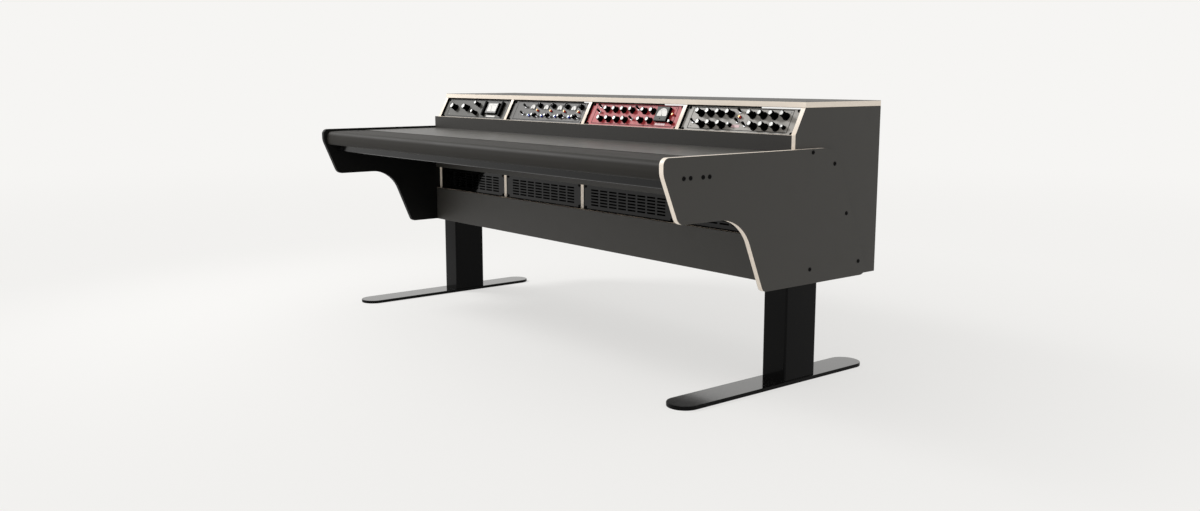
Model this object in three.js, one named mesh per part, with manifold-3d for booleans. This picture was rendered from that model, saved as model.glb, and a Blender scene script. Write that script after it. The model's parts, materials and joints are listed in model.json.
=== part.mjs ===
// Studio desk with a raised rack console, four filled rack bays, four vented bays
// and an electric sit and stand frame, shown fully lowered.
// Millimetres, +Z up, -Y is the side where the player sits.
// The origin is on the floor under the middle of the desk.

import * as THREE from 'three';
import { mergeVertices } from 'three/addons/utils/BufferGeometryUtils.js';
import Module from 'manifold-3d';

const wasm = await Module();
wasm.setup();

// Driving dimensions

const deg = Math.PI / 180;

const fit = {
  gap: 0.3, // between pieces that rest on or in each other
  overrun: 6, // how far a cutting body passes the face that it cuts
};

const board = { thick: 18, sideClear: 0.2 };

const rack = {
  unitHeight: 44.45,
  units: 2,
  bays: 4,
  panelWidth: 482.6,
  panelTrim: 0.8, // a panel is this much lower than its units
  bayClear: 1.7, // between a panel's end and the side of its bay
};

const desk = { depth: 941 };

const cheek = {
  height: 725,
  noseHeight: 183, // from the underside of the nose up to the top
  noseFlat: 45, // upright part of the front edge
  slope: 0.42, // run of every slanted edge for each unit of height
  bottomFront: 397,
  bottomRear: 877,
  frontRound: 20,
  bendRound: 60,
  chinRound: 28,
  kneeRound: 130,
  heelRound: 20,
  rearRound: 85,
  drop: 8, // the worktop lies this much lower than the cheek's top
};

const console_ = {
  front: 540, // front edges of the upright boards, behind the cheek's front
  bottom: 317,
  riserHeight: 49.5,
  lean: 28 * deg, // the upper bays lean back by this angle
  ventClear: 2.7, // added to the height of the vented bays
  modestyHeight: 137.4,
  backInset: 6,
  cableSlot: 30, // open height under the back panels
  backHeight: 280, // of the back panels; above them the bays are open to the rear
};

const worktop = { front: 185 };

const armrest = {
  front: 12,
  noseHeight: 55.5,
  padThick: 18,
  topRound: 17,
  bottomRound: 15,
  lipRound: 5,
};

const beam = { depth: 60, height: 64, wall: 2, round: 4, frontSetback: 56.5, pitch: 72 };

const moduleFace = { recess: 9, thick: 3 };

const chassis = { ear: 24.3, edge: 3.05, depth: 190, wall: 1.6 };

const rail = { sheet: 1.5, flange: 16, web: 16, trim: 1 };

const vent = { recess: 1.5, thick: 1.5, sideMargin: 40.3, edgeMargin: 14.05 };

const slot = { columns: 8, rows: 6, sideGap: 9.4, rowGap: 5.3 };

const knob = { bezel: 1.2, skirtShare: 1.12, skirtHeightShare: 0.18 };

const foot = { width: 105, front: 115, length: 826, thick: 12 };

const column = {
  width: 93,
  depth: 140,
  front: 545,
  sideClear: 3, // to the console's side board
  round: 6,
  wall: 2.5,
  top: 545,
  slideGap: 2,
  stageLift: 28, // the inner stage starts this high above the foot plate
  stroke: 400,
  collar: 10,
};

const bracket = { thick: 5, rise: 90, margin: 3, bore: 22 };

const screwDrive = {
  radius: 7,
  footClear: 77.7, // from the foot plate up to the screw's lower end
  stageClear: 45, // from the nut up to the inner stage's top
  nutRadius: 19,
  nutHeight: 32,
  postRadius: 14,
  postWall: 3,
  nutGap: 0.4,
  flangeRadius: 26,
  flangeThick: 6,
};

const motor = {
  width: 74, depth: 118, height: 46, round: 9,
  canRadius: 27, canHeight: 58, canOffset: 26,
};

const controlBox = { width: 260, depth: 92, height: 38, round: 8, setback: 760 };

const handset = { width: 96, depth: 40, height: 20, round: 5, inset: 26 };

const button = {
  width: 15, height: 9, thick: 6, round: 2,
  proud: 1.6, travel: 1.4, spacing: 26,
};

const arcSteps = 2; // steps in half of a quarter turn, for small rounds
const wideArcSteps = 6; // the same for the cheeks' and feet's wide curves
const roundSteps = 24;

// Sizes worked out from the driving ones

const bayWidth = rack.panelWidth + 2 * rack.bayClear;
const baySpacing = bayWidth + board.thick;
const consoleHalf = (rack.bays / 2) * baySpacing + board.thick / 2;
const consoleInner = consoleHalf - board.thick;
const cheekOuter = consoleHalf + board.thick;
const bayFace = rack.units * rack.unitHeight;
const panelHeight = bayFace - rack.panelTrim;
const worktopTop = cheek.height - cheek.drop;
const worktopUnder = worktopTop - board.thick;
const riserTop = worktopTop + console_.riserHeight;
const slopeRun = bayFace * Math.sin(console_.lean);
const slopeRise = bayFace * Math.cos(console_.lean);
const consoleTop = riserTop + slopeRise;
const slopeBack = console_.front + slopeRun;
const ventBottom = console_.bottom + console_.modestyHeight;
const ventTop = ventBottom + bayFace + console_.ventClear;
const backFace = desk.depth - console_.backInset;
const backFront = backFace - board.thick;
const backBottom = console_.bottom + board.thick + console_.cableSlot;
const backTop = backBottom + console_.backHeight;
const deskTop = consoleTop + board.thick;
const footTop = foot.thick;
const stageTop = column.top + column.collar;
const bracketPlate = stageTop + bracket.thick;
const columnCentre = consoleInner - column.sideClear - column.width / 2;

// Depth places are measured back from the cheeks' front edge
const fromFront = (setback) => setback - desk.depth / 2;

const finishes = {
  laminate: { color: 0x494844, roughness: 0.55, metalness: 0 },
  deskTop: { color: 0x55524e, roughness: 0.5, metalness: 0 },
  padding: { color: 0x3a3937, roughness: 0.42, metalness: 0 },
  blackSteel: { color: 0x17181a, roughness: 0.25, metalness: 0.4 },
  ventSteel: { color: 0x33322f, roughness: 0.45, metalness: 0.3 },
  bareSteel: { color: 0x9a9c9e, roughness: 0.35, metalness: 1 },
  gearGrey: { color: 0x7d7a75, roughness: 0.45, metalness: 0.3 },
  gearSlate: { color: 0x6f6e6c, roughness: 0.45, metalness: 0.3 },
  gearRed: { color: 0xa8474b, roughness: 0.45, metalness: 0.2 },
  gearPale: { color: 0x9f9d98, roughness: 0.4, metalness: 0.3 },
  blackPlastic: { color: 0x1c1c1d, roughness: 0.4, metalness: 0 },
  greyPlastic: { color: 0x77797b, roughness: 0.5, metalness: 0 },
};

// Small helpers

function piece(parent, name, geometry, finish) {
  const mesh = new THREE.Mesh(geometry, new THREE.MeshStandardMaterial(finishes[finish]));
  mesh.name = name;
  parent.add(mesh);
  return mesh;
}

// A straight block between two corners
function block(low, high) {
  const size = high.map((value, axis) => value - low[axis]);
  const geometry = new THREE.BoxGeometry(...size);
  geometry.translate(...low.map((value, axis) => value + size[axis] / 2));
  return geometry;
}

// An outline of corners [u, v, round], each rounded by its own radius
function outline(corners) {
  const shape = new THREE.Shape();
  const count = corners.length;
  corners.forEach(([u, v, round = 0], index) => {
    const before = corners[(index + count - 1) % count];
    const after = corners[(index + 1) % count];
    const entry = new THREE.Vector2(before[0] - u, before[1] - v).normalize();
    const exit = new THREE.Vector2(after[0] - u, after[1] - v).normalize();
    const half = Math.acos(entry.dot(exit)) / 2;
    const reach = round / Math.tan(half);
    const start = [u + entry.x * reach, v + entry.y * reach];
    if (index === 0) shape.moveTo(...start);
    else shape.lineTo(...start);
    if (round > 0) roundCorner(shape, [u, v], entry, exit, round / Math.sin(half), round);
  });
  shape.closePath();
  return shape;
}

function roundCorner(shape, [u, v], entry, exit, distance, round) {
  const middle = entry.clone().add(exit).normalize().multiplyScalar(distance);
  const centre = [u + middle.x, v + middle.y];
  const turn = entry.x * exit.y - entry.y * exit.x;
  const side = Math.sign(turn);
  const first = Math.atan2(-entry.x * side, entry.y * side);
  const last = Math.atan2(exit.x * side, -exit.y * side);
  shape.absarc(...centre, round, first, last, turn > 0);
}

function rectangle(width, height, round = 0) {
  const [u, v] = [width / 2, height / 2];
  return outline([[-u, -v, round], [u, -v, round], [u, v, round], [-u, v, round]]);
}

function extrude(shape, length, steps = arcSteps) {
  return new THREE.ExtrudeGeometry(shape, { depth: length, bevelEnabled: false, curveSegments: steps });
}

// The same extrusion with its outline in the Y and Z plane, running along +X
function extrudeAlongX(shape, start, end, steps = arcSteps) {
  const turn = new THREE.Matrix4().makeBasis(
    new THREE.Vector3(0, 1, 0), new THREE.Vector3(0, 0, 1), new THREE.Vector3(1, 0, 0));
  return extrude(shape, end - start, steps).applyMatrix4(turn).translate(start, 0, 0);
}

// The same extrusion with its outline in the X and Z plane, from one depth back to another
function extrudeAlongY(shape, start, end) {
  return extrude(shape, end - start).rotateX(Math.PI / 2).translate(0, end, 0);
}

function extrudeUp(shape, start, end, steps = arcSteps) {
  return extrude(shape, end - start, steps).translate(0, 0, start);
}

function toSolid(geometry) {
  const bare = geometry.clone();
  bare.deleteAttribute('normal');
  bare.deleteAttribute('uv');
  const merged = mergeVertices(bare);
  return new wasm.Manifold(new wasm.Mesh({
    numProp: 3,
    vertProperties: new Float32Array(merged.attributes.position.array),
    triVerts: new Uint32Array(merged.index.array),
  }));
}

function toGeometry(solid) {
  const mesh = solid.getMesh();
  const geometry = new THREE.BufferGeometry();
  geometry.setAttribute('position', new THREE.BufferAttribute(mesh.vertProperties, 3));
  geometry.setIndex(new THREE.BufferAttribute(mesh.triVerts, 1));
  geometry.computeVertexNormals();
  return geometry;
}

function join(...geometries) {
  return toGeometry(geometries.map(toSolid).reduce((whole, part) => whole.add(part)));
}

function cut(geometry, ...tools) {
  return toGeometry(tools.map(toSolid).reduce((whole, tool) => whole.subtract(tool), toSolid(geometry)));
}

// Cheeks: the two outer end boards

function cheekOutline() {
  const noseUnder = cheek.height - cheek.noseHeight;
  const bendHeight = cheek.height - cheek.noseFlat;
  const chin = (bendHeight - noseUnder) * cheek.slope;
  const knee = cheek.bottomFront - (noseUnder - console_.bottom) * cheek.slope;
  const rearTop = cheek.bottomRear - (cheek.height - console_.bottom) * cheek.slope;
  const corners = [
    [0, cheek.height, cheek.frontRound],
    [0, bendHeight, cheek.bendRound],
    [chin, noseUnder, cheek.chinRound],
    [knee, noseUnder, cheek.kneeRound],
    [cheek.bottomFront, console_.bottom, cheek.heelRound],
    [cheek.bottomRear, console_.bottom, cheek.heelRound],
    [rearTop, cheek.height, cheek.rearRound],
  ];
  return outline(corners.map(([setback, height, round]) => [fromFront(setback), height, round]));
}

function buildCheeks(parent) {
  const shape = cheekOutline();
  const left = extrudeAlongX(shape, -cheekOuter, -consoleHalf, wideArcSteps);
  const right = extrudeAlongX(shape, consoleHalf, cheekOuter, wideArcSteps);
  piece(parent, 'cheek_left', left, 'laminate');
  piece(parent, 'cheek_right', right, 'laminate');
}

// Console: the upright boards, the top, the front panels and the back

function sideOutline() {
  return outline([
    [fromFront(console_.front), console_.bottom],
    [fromFront(desk.depth), console_.bottom],
    [fromFront(desk.depth), consoleTop],
    [fromFront(slopeBack), consoleTop],
    [fromFront(console_.front), riserTop],
  ]);
}

// A divider stands on the bottom board and is cut back where the back panels are screwed to it
function dividerOutline() {
  const bottom = console_.bottom + board.thick;
  return outline([
    [fromFront(console_.front), bottom],
    [fromFront(backFront), bottom],
    [fromFront(backFront), backTop],
    [fromFront(desk.depth), backTop],
    [fromFront(desk.depth), consoleTop],
    [fromFront(slopeBack), consoleTop],
    [fromFront(console_.front), riserTop],
  ]);
}

function buildUprights(parent) {
  const side = sideOutline();
  piece(parent, 'console_side_left', extrudeAlongX(side, -consoleHalf, -consoleInner), 'laminate');
  piece(parent, 'console_side_right', extrudeAlongX(side, consoleInner, consoleHalf), 'laminate');
  const divider = dividerOutline();
  ['left', 'centre', 'right'].forEach((place, index) => {
    const middle = (index - 1) * baySpacing;
    const geometry = extrudeAlongX(divider, middle - board.thick / 2, middle + board.thick / 2);
    piece(parent, `divider_${place}`, geometry, 'laminate');
  });
}

function frontPanel(parent, name, bottom, top, finish) {
  const low = [-consoleHalf, fromFront(console_.front - board.thick), bottom];
  piece(parent, name, block(low, [consoleHalf, fromFront(console_.front), top]), finish);
}

function buildFrontPanels(parent) {
  frontPanel(parent, 'riser_panel', worktopUnder, riserTop, 'laminate');
  frontPanel(parent, 'valance_panel', ventTop, worktopUnder, 'laminate');
  frontPanel(parent, 'modesty_panel', console_.bottom, ventBottom, 'laminate');
}

function buildTopBoard(parent) {
  const low = [-consoleHalf, fromFront(slopeBack), consoleTop];
  piece(parent, 'top_board', block(low, [consoleHalf, fromFront(desk.depth), deskTop]), 'laminate');
}

// The bottom board is notched at both front corners, where the lifting columns pass
function buildBottomBoard(parent) {
  const notchSide = columnCentre - column.width / 2 - column.slideGap;
  const notchBack = fromFront(column.front + column.depth + column.slideGap);
  const front = fromFront(console_.front);
  const rear = fromFront(backFace);
  const edge = consoleInner - board.sideClear;
  const shape = outline([
    [-notchSide, front], [notchSide, front], [notchSide, notchBack], [edge, notchBack],
    [edge, rear], [-edge, rear], [-edge, notchBack], [-notchSide, notchBack],
  ]);
  const top = console_.bottom + board.thick;
  piece(parent, 'bottom_board', extrudeUp(shape, console_.bottom, top), 'laminate');
}

// The back panels leave a slot for cables below them and the leaning bays' rear open above them
function buildBackPanels(parent) {
  const edge = consoleInner - board.sideClear;
  const spans = { left: [-edge, -board.sideClear], right: [board.sideClear, edge] };
  for (const [place, [start, end]] of Object.entries(spans)) {
    const low = [start, fromFront(backFront), backBottom];
    const geometry = block(low, [end, fromFront(backFace), backTop]);
    piece(parent, `back_panel_${place}`, geometry, 'laminate');
  }
}

// Worktop, padded armrest and the two tubes that carry them

// The worktop ends at the riser panel's front face, so its whole top is free
function buildWorktop(parent) {
  const low = [-consoleHalf, fromFront(worktop.front), worktopUnder];
  const high = [consoleHalf, fromFront(console_.front - board.thick), worktopTop];
  piece(parent, 'worktop', block(low, high), 'deskTop');
}

function buildArmrest(parent) {
  const rear = fromFront(worktop.front) - fit.gap;
  const front = fromFront(armrest.front);
  const inner = fromFront(beam.frontSetback) - fit.gap;
  const under = worktopTop - armrest.padThick;
  const noseUnder = worktopTop - armrest.noseHeight;
  const shape = outline([
    [front, worktopTop, armrest.topRound],
    [front, noseUnder, armrest.bottomRound],
    [inner, noseUnder, armrest.lipRound],
    [inner, under],
    [rear, under],
    [rear, worktopTop],
  ]);
  const end = consoleHalf - fit.gap;
  piece(parent, 'armrest_pad', extrudeAlongX(shape, -end, end), 'padding');
}

function buildBeams(parent) {
  ['front', 'rear'].forEach((place, index) => {
    const middle = fromFront(beam.frontSetback + beam.depth / 2 + index * beam.pitch);
    const shape = rectangle(beam.depth, beam.height, beam.round);
    const bore = rectangle(beam.depth - 2 * beam.wall, beam.height - 2 * beam.wall, beam.round - beam.wall);
    shape.holes.push(bore);
    const geometry = extrudeAlongX(shape, -consoleHalf, consoleHalf);
    geometry.translate(0, middle, worktopUnder - beam.height / 2);
    piece(parent, `beam_${place}`, geometry, 'blackSteel');
  });
}

// Rack bays: one folded rail on each side of each bay, four vented panels below
// and four units above

function bayCentre(index) {
  return (index - (rack.bays - 1) / 2) * baySpacing;
}

// A band of one sheet, or of the whole web, along the rail's bent front line
function railBand(width) {
  const low = fromFront(console_.front + vent.recess + vent.thick);
  const inset = moduleFace.recess + moduleFace.thick;
  const lean = console_.lean;
  const slopeStart = [
    fromFront(console_.front) + inset * Math.cos(lean),
    riserTop - inset * Math.sin(lean),
  ];
  const bendAt = (offset) => {
    const start = [slopeStart[0] + offset * Math.cos(lean), slopeStart[1] - offset * Math.sin(lean)];
    return [low + offset, start[1] - (start[0] - low - offset) / Math.tan(lean)];
  };
  const endAt = (offset) => {
    const reach = bayFace - rail.trim;
    return [
      slopeStart[0] + offset * Math.cos(lean) + reach * Math.sin(lean),
      slopeStart[1] - offset * Math.sin(lean) + reach * Math.cos(lean),
    ];
  };
  const foot = ventBottom + rail.trim;
  return outline([[low, foot], [low + width, foot], bendAt(width), endAt(width), endAt(0), bendAt(0)]);
}

function buildRails(parent) {
  for (let bay = 0; bay < rack.bays; bay += 1) {
    for (const side of [-1, 1]) {
      const wall = bayCentre(bay) + (side * bayWidth) / 2;
      const span = (reach) => [wall, wall - side * reach].sort((a, b) => a - b);
      const flange = extrudeAlongX(railBand(rail.sheet), ...span(rail.flange));
      const web = extrudeAlongX(railBand(rail.web), ...span(rail.sheet));
      const name = `rack_rail_${bay + 1}_${side < 0 ? 'left' : 'right'}`;
      piece(parent, name, join(flange, web), 'blackSteel');
    }
  }
}

function ventGeometry() {
  const fieldWidth = rack.panelWidth - 2 * vent.sideMargin;
  const fieldHeight = panelHeight - 2 * vent.edgeMargin;
  const stepX = (fieldWidth + slot.sideGap) / slot.columns;
  const stepZ = (fieldHeight + slot.rowGap) / slot.rows;
  const opening = rectangle(stepX - slot.sideGap, stepZ - slot.rowGap);
  const slots = [];
  for (let column_ = 0; column_ < slot.columns; column_ += 1) {
    for (let row = 0; row < slot.rows; row += 1) {
      const u = (column_ - (slot.columns - 1) / 2) * stepX;
      const v = (row - (slot.rows - 1) / 2) * stepZ;
      const hole = extrudeAlongY(opening, -fit.overrun, fit.overrun);
      slots.push(hole.translate(u, 0, v));
    }
  }
  return cut(extrudeAlongY(rectangle(rack.panelWidth, panelHeight), 0, vent.thick), ...slots);
}

function buildVents(parent) {
  for (let bay = 0; bay < rack.bays; bay += 1) {
    const panel = piece(parent, `vent_panel_${bay + 1}`, ventGeometry(), 'ventSteel');
    panel.position.set(
      bayCentre(bay),
      fromFront(console_.front + vent.recess),
      (ventBottom + ventTop) / 2,
    );
  }
}

// One rack unit: a face plate with a sheet metal case behind it, open at the rear
function unitGeometry() {
  const face = extrudeAlongY(rectangle(rack.panelWidth, panelHeight), 0, moduleFace.thick);
  const width = rack.panelWidth - 2 * chassis.ear;
  const height = panelHeight - 2 * chassis.edge;
  const shape = rectangle(width, height);
  const inner = rectangle(width - 2 * chassis.wall, height - 2 * chassis.wall);
  shape.holes.push(inner);
  const shell = extrudeAlongY(shape, moduleFace.thick / 2, moduleFace.thick + chassis.depth);
  return join(face, shell);
}

function buildUnits(parent) {
  const slope = new THREE.Group();
  const lean = console_.lean;
  slope.rotation.x = -lean;
  slope.position.set(
    0,
    fromFront(console_.front) + moduleFace.recess * Math.cos(lean) + (bayFace / 2) * Math.sin(lean),
    riserTop - moduleFace.recess * Math.sin(lean) + (bayFace / 2) * Math.cos(lean),
  );
  parent.add(slope);
  ['gearGrey', 'gearSlate', 'gearRed', 'gearPale'].forEach((finish, bay) => {
    const unit = piece(slope, `rack_unit_${bay + 1}`, unitGeometry(), finish);
    unit.position.set(bayCentre(bay), -fit.gap, 0);
  });
  buildKnobs(slope);
}

// The first unit's four knobs, placed by shares of its face plate
const unitKnobs = [
  { name: 'level', share: [-0.331, 0.022], radius: 13, depth: 27 },
  { name: 'source', share: [-0.141, 0.019], radius: 13, depth: 27 },
  { name: 'trim', share: [0.026, 0.213], radius: 8.5, depth: 27 },
  { name: 'balance', share: [0.022, -0.218], radius: 8.5, depth: 27 },
];

function knobGeometry({ radius, depth }) {
  const skirt = radius * knob.skirtShare;
  const skirtTop = -depth * knob.skirtHeightShare;
  const profile = [
    [0, 0], [skirt, 0], [skirt, skirtTop], [radius, skirtTop],
    [radius, knob.bezel - depth], [radius - knob.bezel, -depth], [0, -depth],
  ];
  return new THREE.LatheGeometry(profile.map(([r, y]) => new THREE.Vector2(r, y)).reverse(), roundSteps);
}

function buildKnobs(slope) {
  for (const item of unitKnobs) {
    const mesh = piece(slope, `unit_1_knob_${item.name}`, knobGeometry(item), 'blackPlastic');
    mesh.position.set(
      bayCentre(0) + item.share[0] * rack.panelWidth,
      -2 * fit.gap,
      item.share[1] * panelHeight,
    );
  }
}

// Lifting legs: a foot plate and outer column stand on the floor, an inner stage
// carries the console, and a driven screw turns in a nut on the foot's post

function tubeShape(width, depth, round, wall) {
  const shape = rectangle(width, depth, round);
  shape.holes.push(rectangle(width - 2 * wall, depth - 2 * wall, round - wall));
  return shape;
}

const columnMiddle = fromFront(column.front + column.depth / 2);
const stageWidth = column.width - 2 * (column.wall + column.slideGap);
const stageDepth = column.depth - 2 * (column.wall + column.slideGap);
const stageRound = column.round - column.wall;

function buildFoot(leg, place) {
  const shape = rectangle(foot.width, foot.length, foot.width / 2 - fit.gap);
  const plate = extrudeUp(shape, 0, foot.thick, wideArcSteps);
  plate.translate(0, fromFront(foot.front + foot.length / 2), 0);
  piece(leg, `foot_plate_${place}`, plate, 'blackSteel');
}

function buildColumn(leg, place) {
  const outer = tubeShape(column.width, column.depth, column.round, column.wall);
  const tube = extrudeUp(outer, footTop, column.top).translate(0, columnMiddle, 0);
  piece(leg, `outer_column_${place}`, tube, 'blackSteel');
  const ring = tubeShape(column.width, column.depth, column.round, column.wall + column.slideGap - fit.gap);
  const collarTop = column.top + column.collar - fit.gap;
  const collar = extrudeUp(ring, column.top, collarTop).translate(0, columnMiddle, 0);
  piece(leg, `guide_collar_${place}`, collar, 'blackPlastic');
}

function buildNutPost(leg, place) {
  const top = stageTop - screwDrive.stageClear;
  const bore = screwDrive.radius + screwDrive.nutGap;
  const wide = screwDrive.postRadius - screwDrive.postWall;
  const nutBottom = top - screwDrive.nutHeight;
  const flangeTop = footTop + screwDrive.flangeThick;
  const profile = [
    [wide, footTop], [screwDrive.flangeRadius, footTop], [screwDrive.flangeRadius, flangeTop],
    [screwDrive.postRadius, flangeTop], [screwDrive.postRadius, nutBottom],
    [screwDrive.nutRadius, nutBottom], [screwDrive.nutRadius, top], [bore, top], [bore, nutBottom],
    [wide, nutBottom], [wide, footTop],
  ];
  const geometry = new THREE.LatheGeometry(profile.map(([r, z]) => new THREE.Vector2(r, z)), roundSteps);
  geometry.rotateX(Math.PI / 2).translate(0, columnMiddle, 0);
  piece(leg, `nut_post_${place}`, geometry, 'bareSteel');
}

function buildStage(leg, place) {
  const shape = tubeShape(stageWidth, stageDepth, stageRound, column.wall);
  const bottom = footTop + column.stageLift;
  const tube = extrudeUp(shape, bottom, stageTop).translate(0, columnMiddle, 0);
  piece(leg, `inner_column_${place}`, tube, 'blackSteel');
}

// The bracket's plate lies on the inner stage and its flange is screwed to the console's side
function buildBracket(leg, place, side) {
  const reach = consoleInner - columnCentre;
  const front = fromFront(console_.front + vent.recess + vent.thick + rail.web + bracket.margin);
  const rear = columnMiddle + column.depth / 2 + bracket.margin;
  const span = (from, to) => [side * from, side * to].sort((a, b) => a - b);
  const [left, right] = span(-column.width / 2, reach);
  const plan = outline([[left, front], [right, front], [right, rear], [left, rear]]);
  const bore = new THREE.Path();
  bore.absarc(0, columnMiddle, bracket.bore / 2, 0, 2 * Math.PI, true);
  plan.holes.push(bore);
  const plate = extrudeUp(plan, stageTop, bracketPlate);
  const [flangeLeft, flangeRight] = span(reach - bracket.thick, reach);
  const low = [flangeLeft, front, stageTop];
  const flange = block(low, [flangeRight, rear, stageTop + bracket.rise]);
  piece(leg, `lift_bracket_${place}`, join(plate, flange), 'blackSteel');
}

function buildMotor(leg, place) {
  const plan = rectangle(motor.width, motor.depth, motor.round);
  const housing = extrudeUp(plan, bracketPlate, bracketPlate + motor.height);
  const can = new THREE.CylinderGeometry(motor.canRadius, motor.canRadius, motor.canHeight, roundSteps);
  can.rotateX(Math.PI / 2).translate(0, motor.canOffset, bracketPlate + motor.canHeight / 2);
  const geometry = join(housing, can).translate(0, columnMiddle, 0);
  piece(leg, `lift_motor_${place}`, geometry, 'greyPlastic');
}

function buildSpindle(leg, place) {
  const top = bracketPlate - fit.gap;
  const bottom = footTop + screwDrive.footClear;
  const { radius } = screwDrive;
  const geometry = new THREE.CylinderGeometry(radius, radius, top - bottom, roundSteps);
  geometry.rotateX(Math.PI / 2).translate(0, columnMiddle, (top + bottom) / 2);
  piece(leg, `lift_spindle_${place}`, geometry, 'bareSteel');
}

function buildLeg(parent, place, side) {
  const leg = new THREE.Group();
  leg.position.x = side * columnCentre;
  parent.add(leg);
  buildFoot(leg, place);
  buildColumn(leg, place);
  buildNutPost(leg, place);
  buildStage(leg, place);
  buildBracket(leg, place, side);
  buildMotor(leg, place);
  buildSpindle(leg, place);
}

// Controls: the lift's control box inside the console and the hand control under the worktop

function buildControlBox(parent) {
  const bottom = console_.bottom + board.thick;
  const shape = rectangle(controlBox.width, controlBox.depth, controlBox.round);
  const geometry = extrudeUp(shape, bottom, bottom + controlBox.height);
  geometry.translate(-baySpacing / 2, fromFront(controlBox.setback), 0);
  piece(parent, 'control_box', geometry, 'blackPlastic');
}

function buildHandset(parent) {
  const body = new THREE.Group();
  const under = worktopUnder - beam.height;
  const rear = fromFront(beam.frontSetback + beam.pitch + beam.depth);
  const right = consoleHalf - handset.inset;
  body.position.set(right - handset.width / 2, rear - handset.depth, under - handset.height / 2);
  parent.add(body);
  const shell = extrudeAlongY(rectangle(handset.width, handset.height, handset.round), 0, handset.depth);
  const pocketDepth = button.thick - button.proud + button.travel + fit.gap;
  const pocket = (u) => {
    const hole = rectangle(button.width + 2 * fit.gap, button.height + 2 * fit.gap, button.round);
    return extrudeAlongY(hole, -fit.overrun, pocketDepth).translate(u, 0, 0);
  };
  const half = button.spacing / 2;
  piece(body, 'hand_control', cut(shell, pocket(-half), pocket(half)), 'blackPlastic');
  [['up', -half], ['down', half]].forEach(([name, u]) => {
    const cap = extrudeAlongY(rectangle(button.width, button.height, button.round), 0, button.thick);
    const mesh = piece(body, `hand_button_${name}`, cap, 'greyPlastic');
    mesh.position.set(u, -button.proud, 0);
  });
}

// The whole desk

const studioDesk = new THREE.Group();
buildCheeks(studioDesk);
buildUprights(studioDesk);
buildFrontPanels(studioDesk);
buildTopBoard(studioDesk);
buildBottomBoard(studioDesk);
buildBackPanels(studioDesk);
buildWorktop(studioDesk);
buildArmrest(studioDesk);
buildBeams(studioDesk);
buildRails(studioDesk);
buildVents(studioDesk);
buildUnits(studioDesk);
buildLeg(studioDesk, 'left', -1);
buildLeg(studioDesk, 'right', 1);
buildControlBox(studioDesk);
buildHandset(studioDesk);

export default studioDesk;
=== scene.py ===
"""Studio desk with a raised rack console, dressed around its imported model.

The frame is +Z up with the player on the -Y side, and every size is in metres
unless a name or a comment says millimetres.
"""

import json
import logging
from dataclasses import dataclass
from enum import Enum
from functools import cache
from math import cos, pi, radians, sin

import bmesh
import bpy
from mathutils import Matrix, Vector, noise


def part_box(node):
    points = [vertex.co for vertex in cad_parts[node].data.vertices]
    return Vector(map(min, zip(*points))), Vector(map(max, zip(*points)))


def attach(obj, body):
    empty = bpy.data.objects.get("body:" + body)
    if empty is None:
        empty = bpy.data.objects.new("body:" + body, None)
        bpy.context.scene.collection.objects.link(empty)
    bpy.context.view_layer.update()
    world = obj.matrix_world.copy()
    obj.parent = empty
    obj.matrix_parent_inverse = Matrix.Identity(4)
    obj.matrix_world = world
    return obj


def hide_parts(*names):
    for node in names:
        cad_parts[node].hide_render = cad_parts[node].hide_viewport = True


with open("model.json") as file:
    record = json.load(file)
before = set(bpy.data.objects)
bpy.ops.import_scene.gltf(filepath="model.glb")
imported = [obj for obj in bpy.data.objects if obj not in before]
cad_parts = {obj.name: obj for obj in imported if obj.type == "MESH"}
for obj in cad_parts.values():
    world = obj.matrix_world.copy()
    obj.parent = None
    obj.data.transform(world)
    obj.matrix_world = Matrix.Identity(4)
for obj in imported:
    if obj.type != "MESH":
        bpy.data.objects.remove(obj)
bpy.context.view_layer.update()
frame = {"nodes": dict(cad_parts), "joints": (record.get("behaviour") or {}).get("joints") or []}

LOG = logging.getLogger("studio_desk")
MILLIMETRE = 0.001
SIDES = ("left", "right")
BAYS = range(1, 5)
RIGHT = Vector((1, 0, 0))
FRONT = Vector((0, -1, 0))
REAR = Vector((0, 1, 0))

Colour = tuple[float, float, float, float]
Point = tuple[float, float]
Size = tuple[float, float, float]
Shape = bmesh.types.BMesh
Edge = bmesh.types.BMEdge
Tree = bpy.types.NodeTree
Socket = bpy.types.NodeSocket


class Axis(Enum):
    """The frame's axes, used for the thickness of a board."""

    X = 0
    Y = 1
    Z = 2


class Body(Enum):
    """The moving bodies that new pieces ride on."""

    CONSOLE = "console"
    LEG_LEFT = "leg_left"
    LEG_RIGHT = "leg_right"
    SPINDLE_LEFT = "spindle_left"
    SPINDLE_RIGHT = "spindle_right"
    BUTTON_UP = "button_up"
    BUTTON_DOWN = "button_down"
    KNOB_LEVEL = "knob_level"
    KNOB_SOURCE = "knob_source"
    KNOB_TRIM = "knob_trim"
    KNOB_BALANCE = "knob_balance"


class Slot(Enum):
    """The material slots named for the pieces, which this script does not give them."""

    LAMINATE = "laminate"
    WORKTOP = "worktop_laminate"
    PADDING = "padding"
    BLACK_STEEL = "black_steel"
    GLOSS_STEEL = "gloss_black_steel"
    BARE_STEEL = "bare_steel"
    VENT_STEEL = "vent_steel"
    BLACK_PLASTIC = "black_plastic"
    GREY_PLASTIC = "grey_plastic"
    KNOB_PLASTIC = "knob_plastic"
    UNIT_GREY = "unit_grey"
    UNIT_SLATE = "unit_slate"
    UNIT_RED = "unit_red"
    UNIT_PALE = "unit_pale"


class Ease(Enum):
    """How far the edges of a piece are softened, from folded sheet to a moulded case."""

    CRISP = 0.0003
    FINE = 0.0004
    DRAWN = 0.0005
    FORMED = 0.0006
    SOFT = 0.0008
    BROAD = 0.0015
    CASE = 0.002


# Materials


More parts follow.
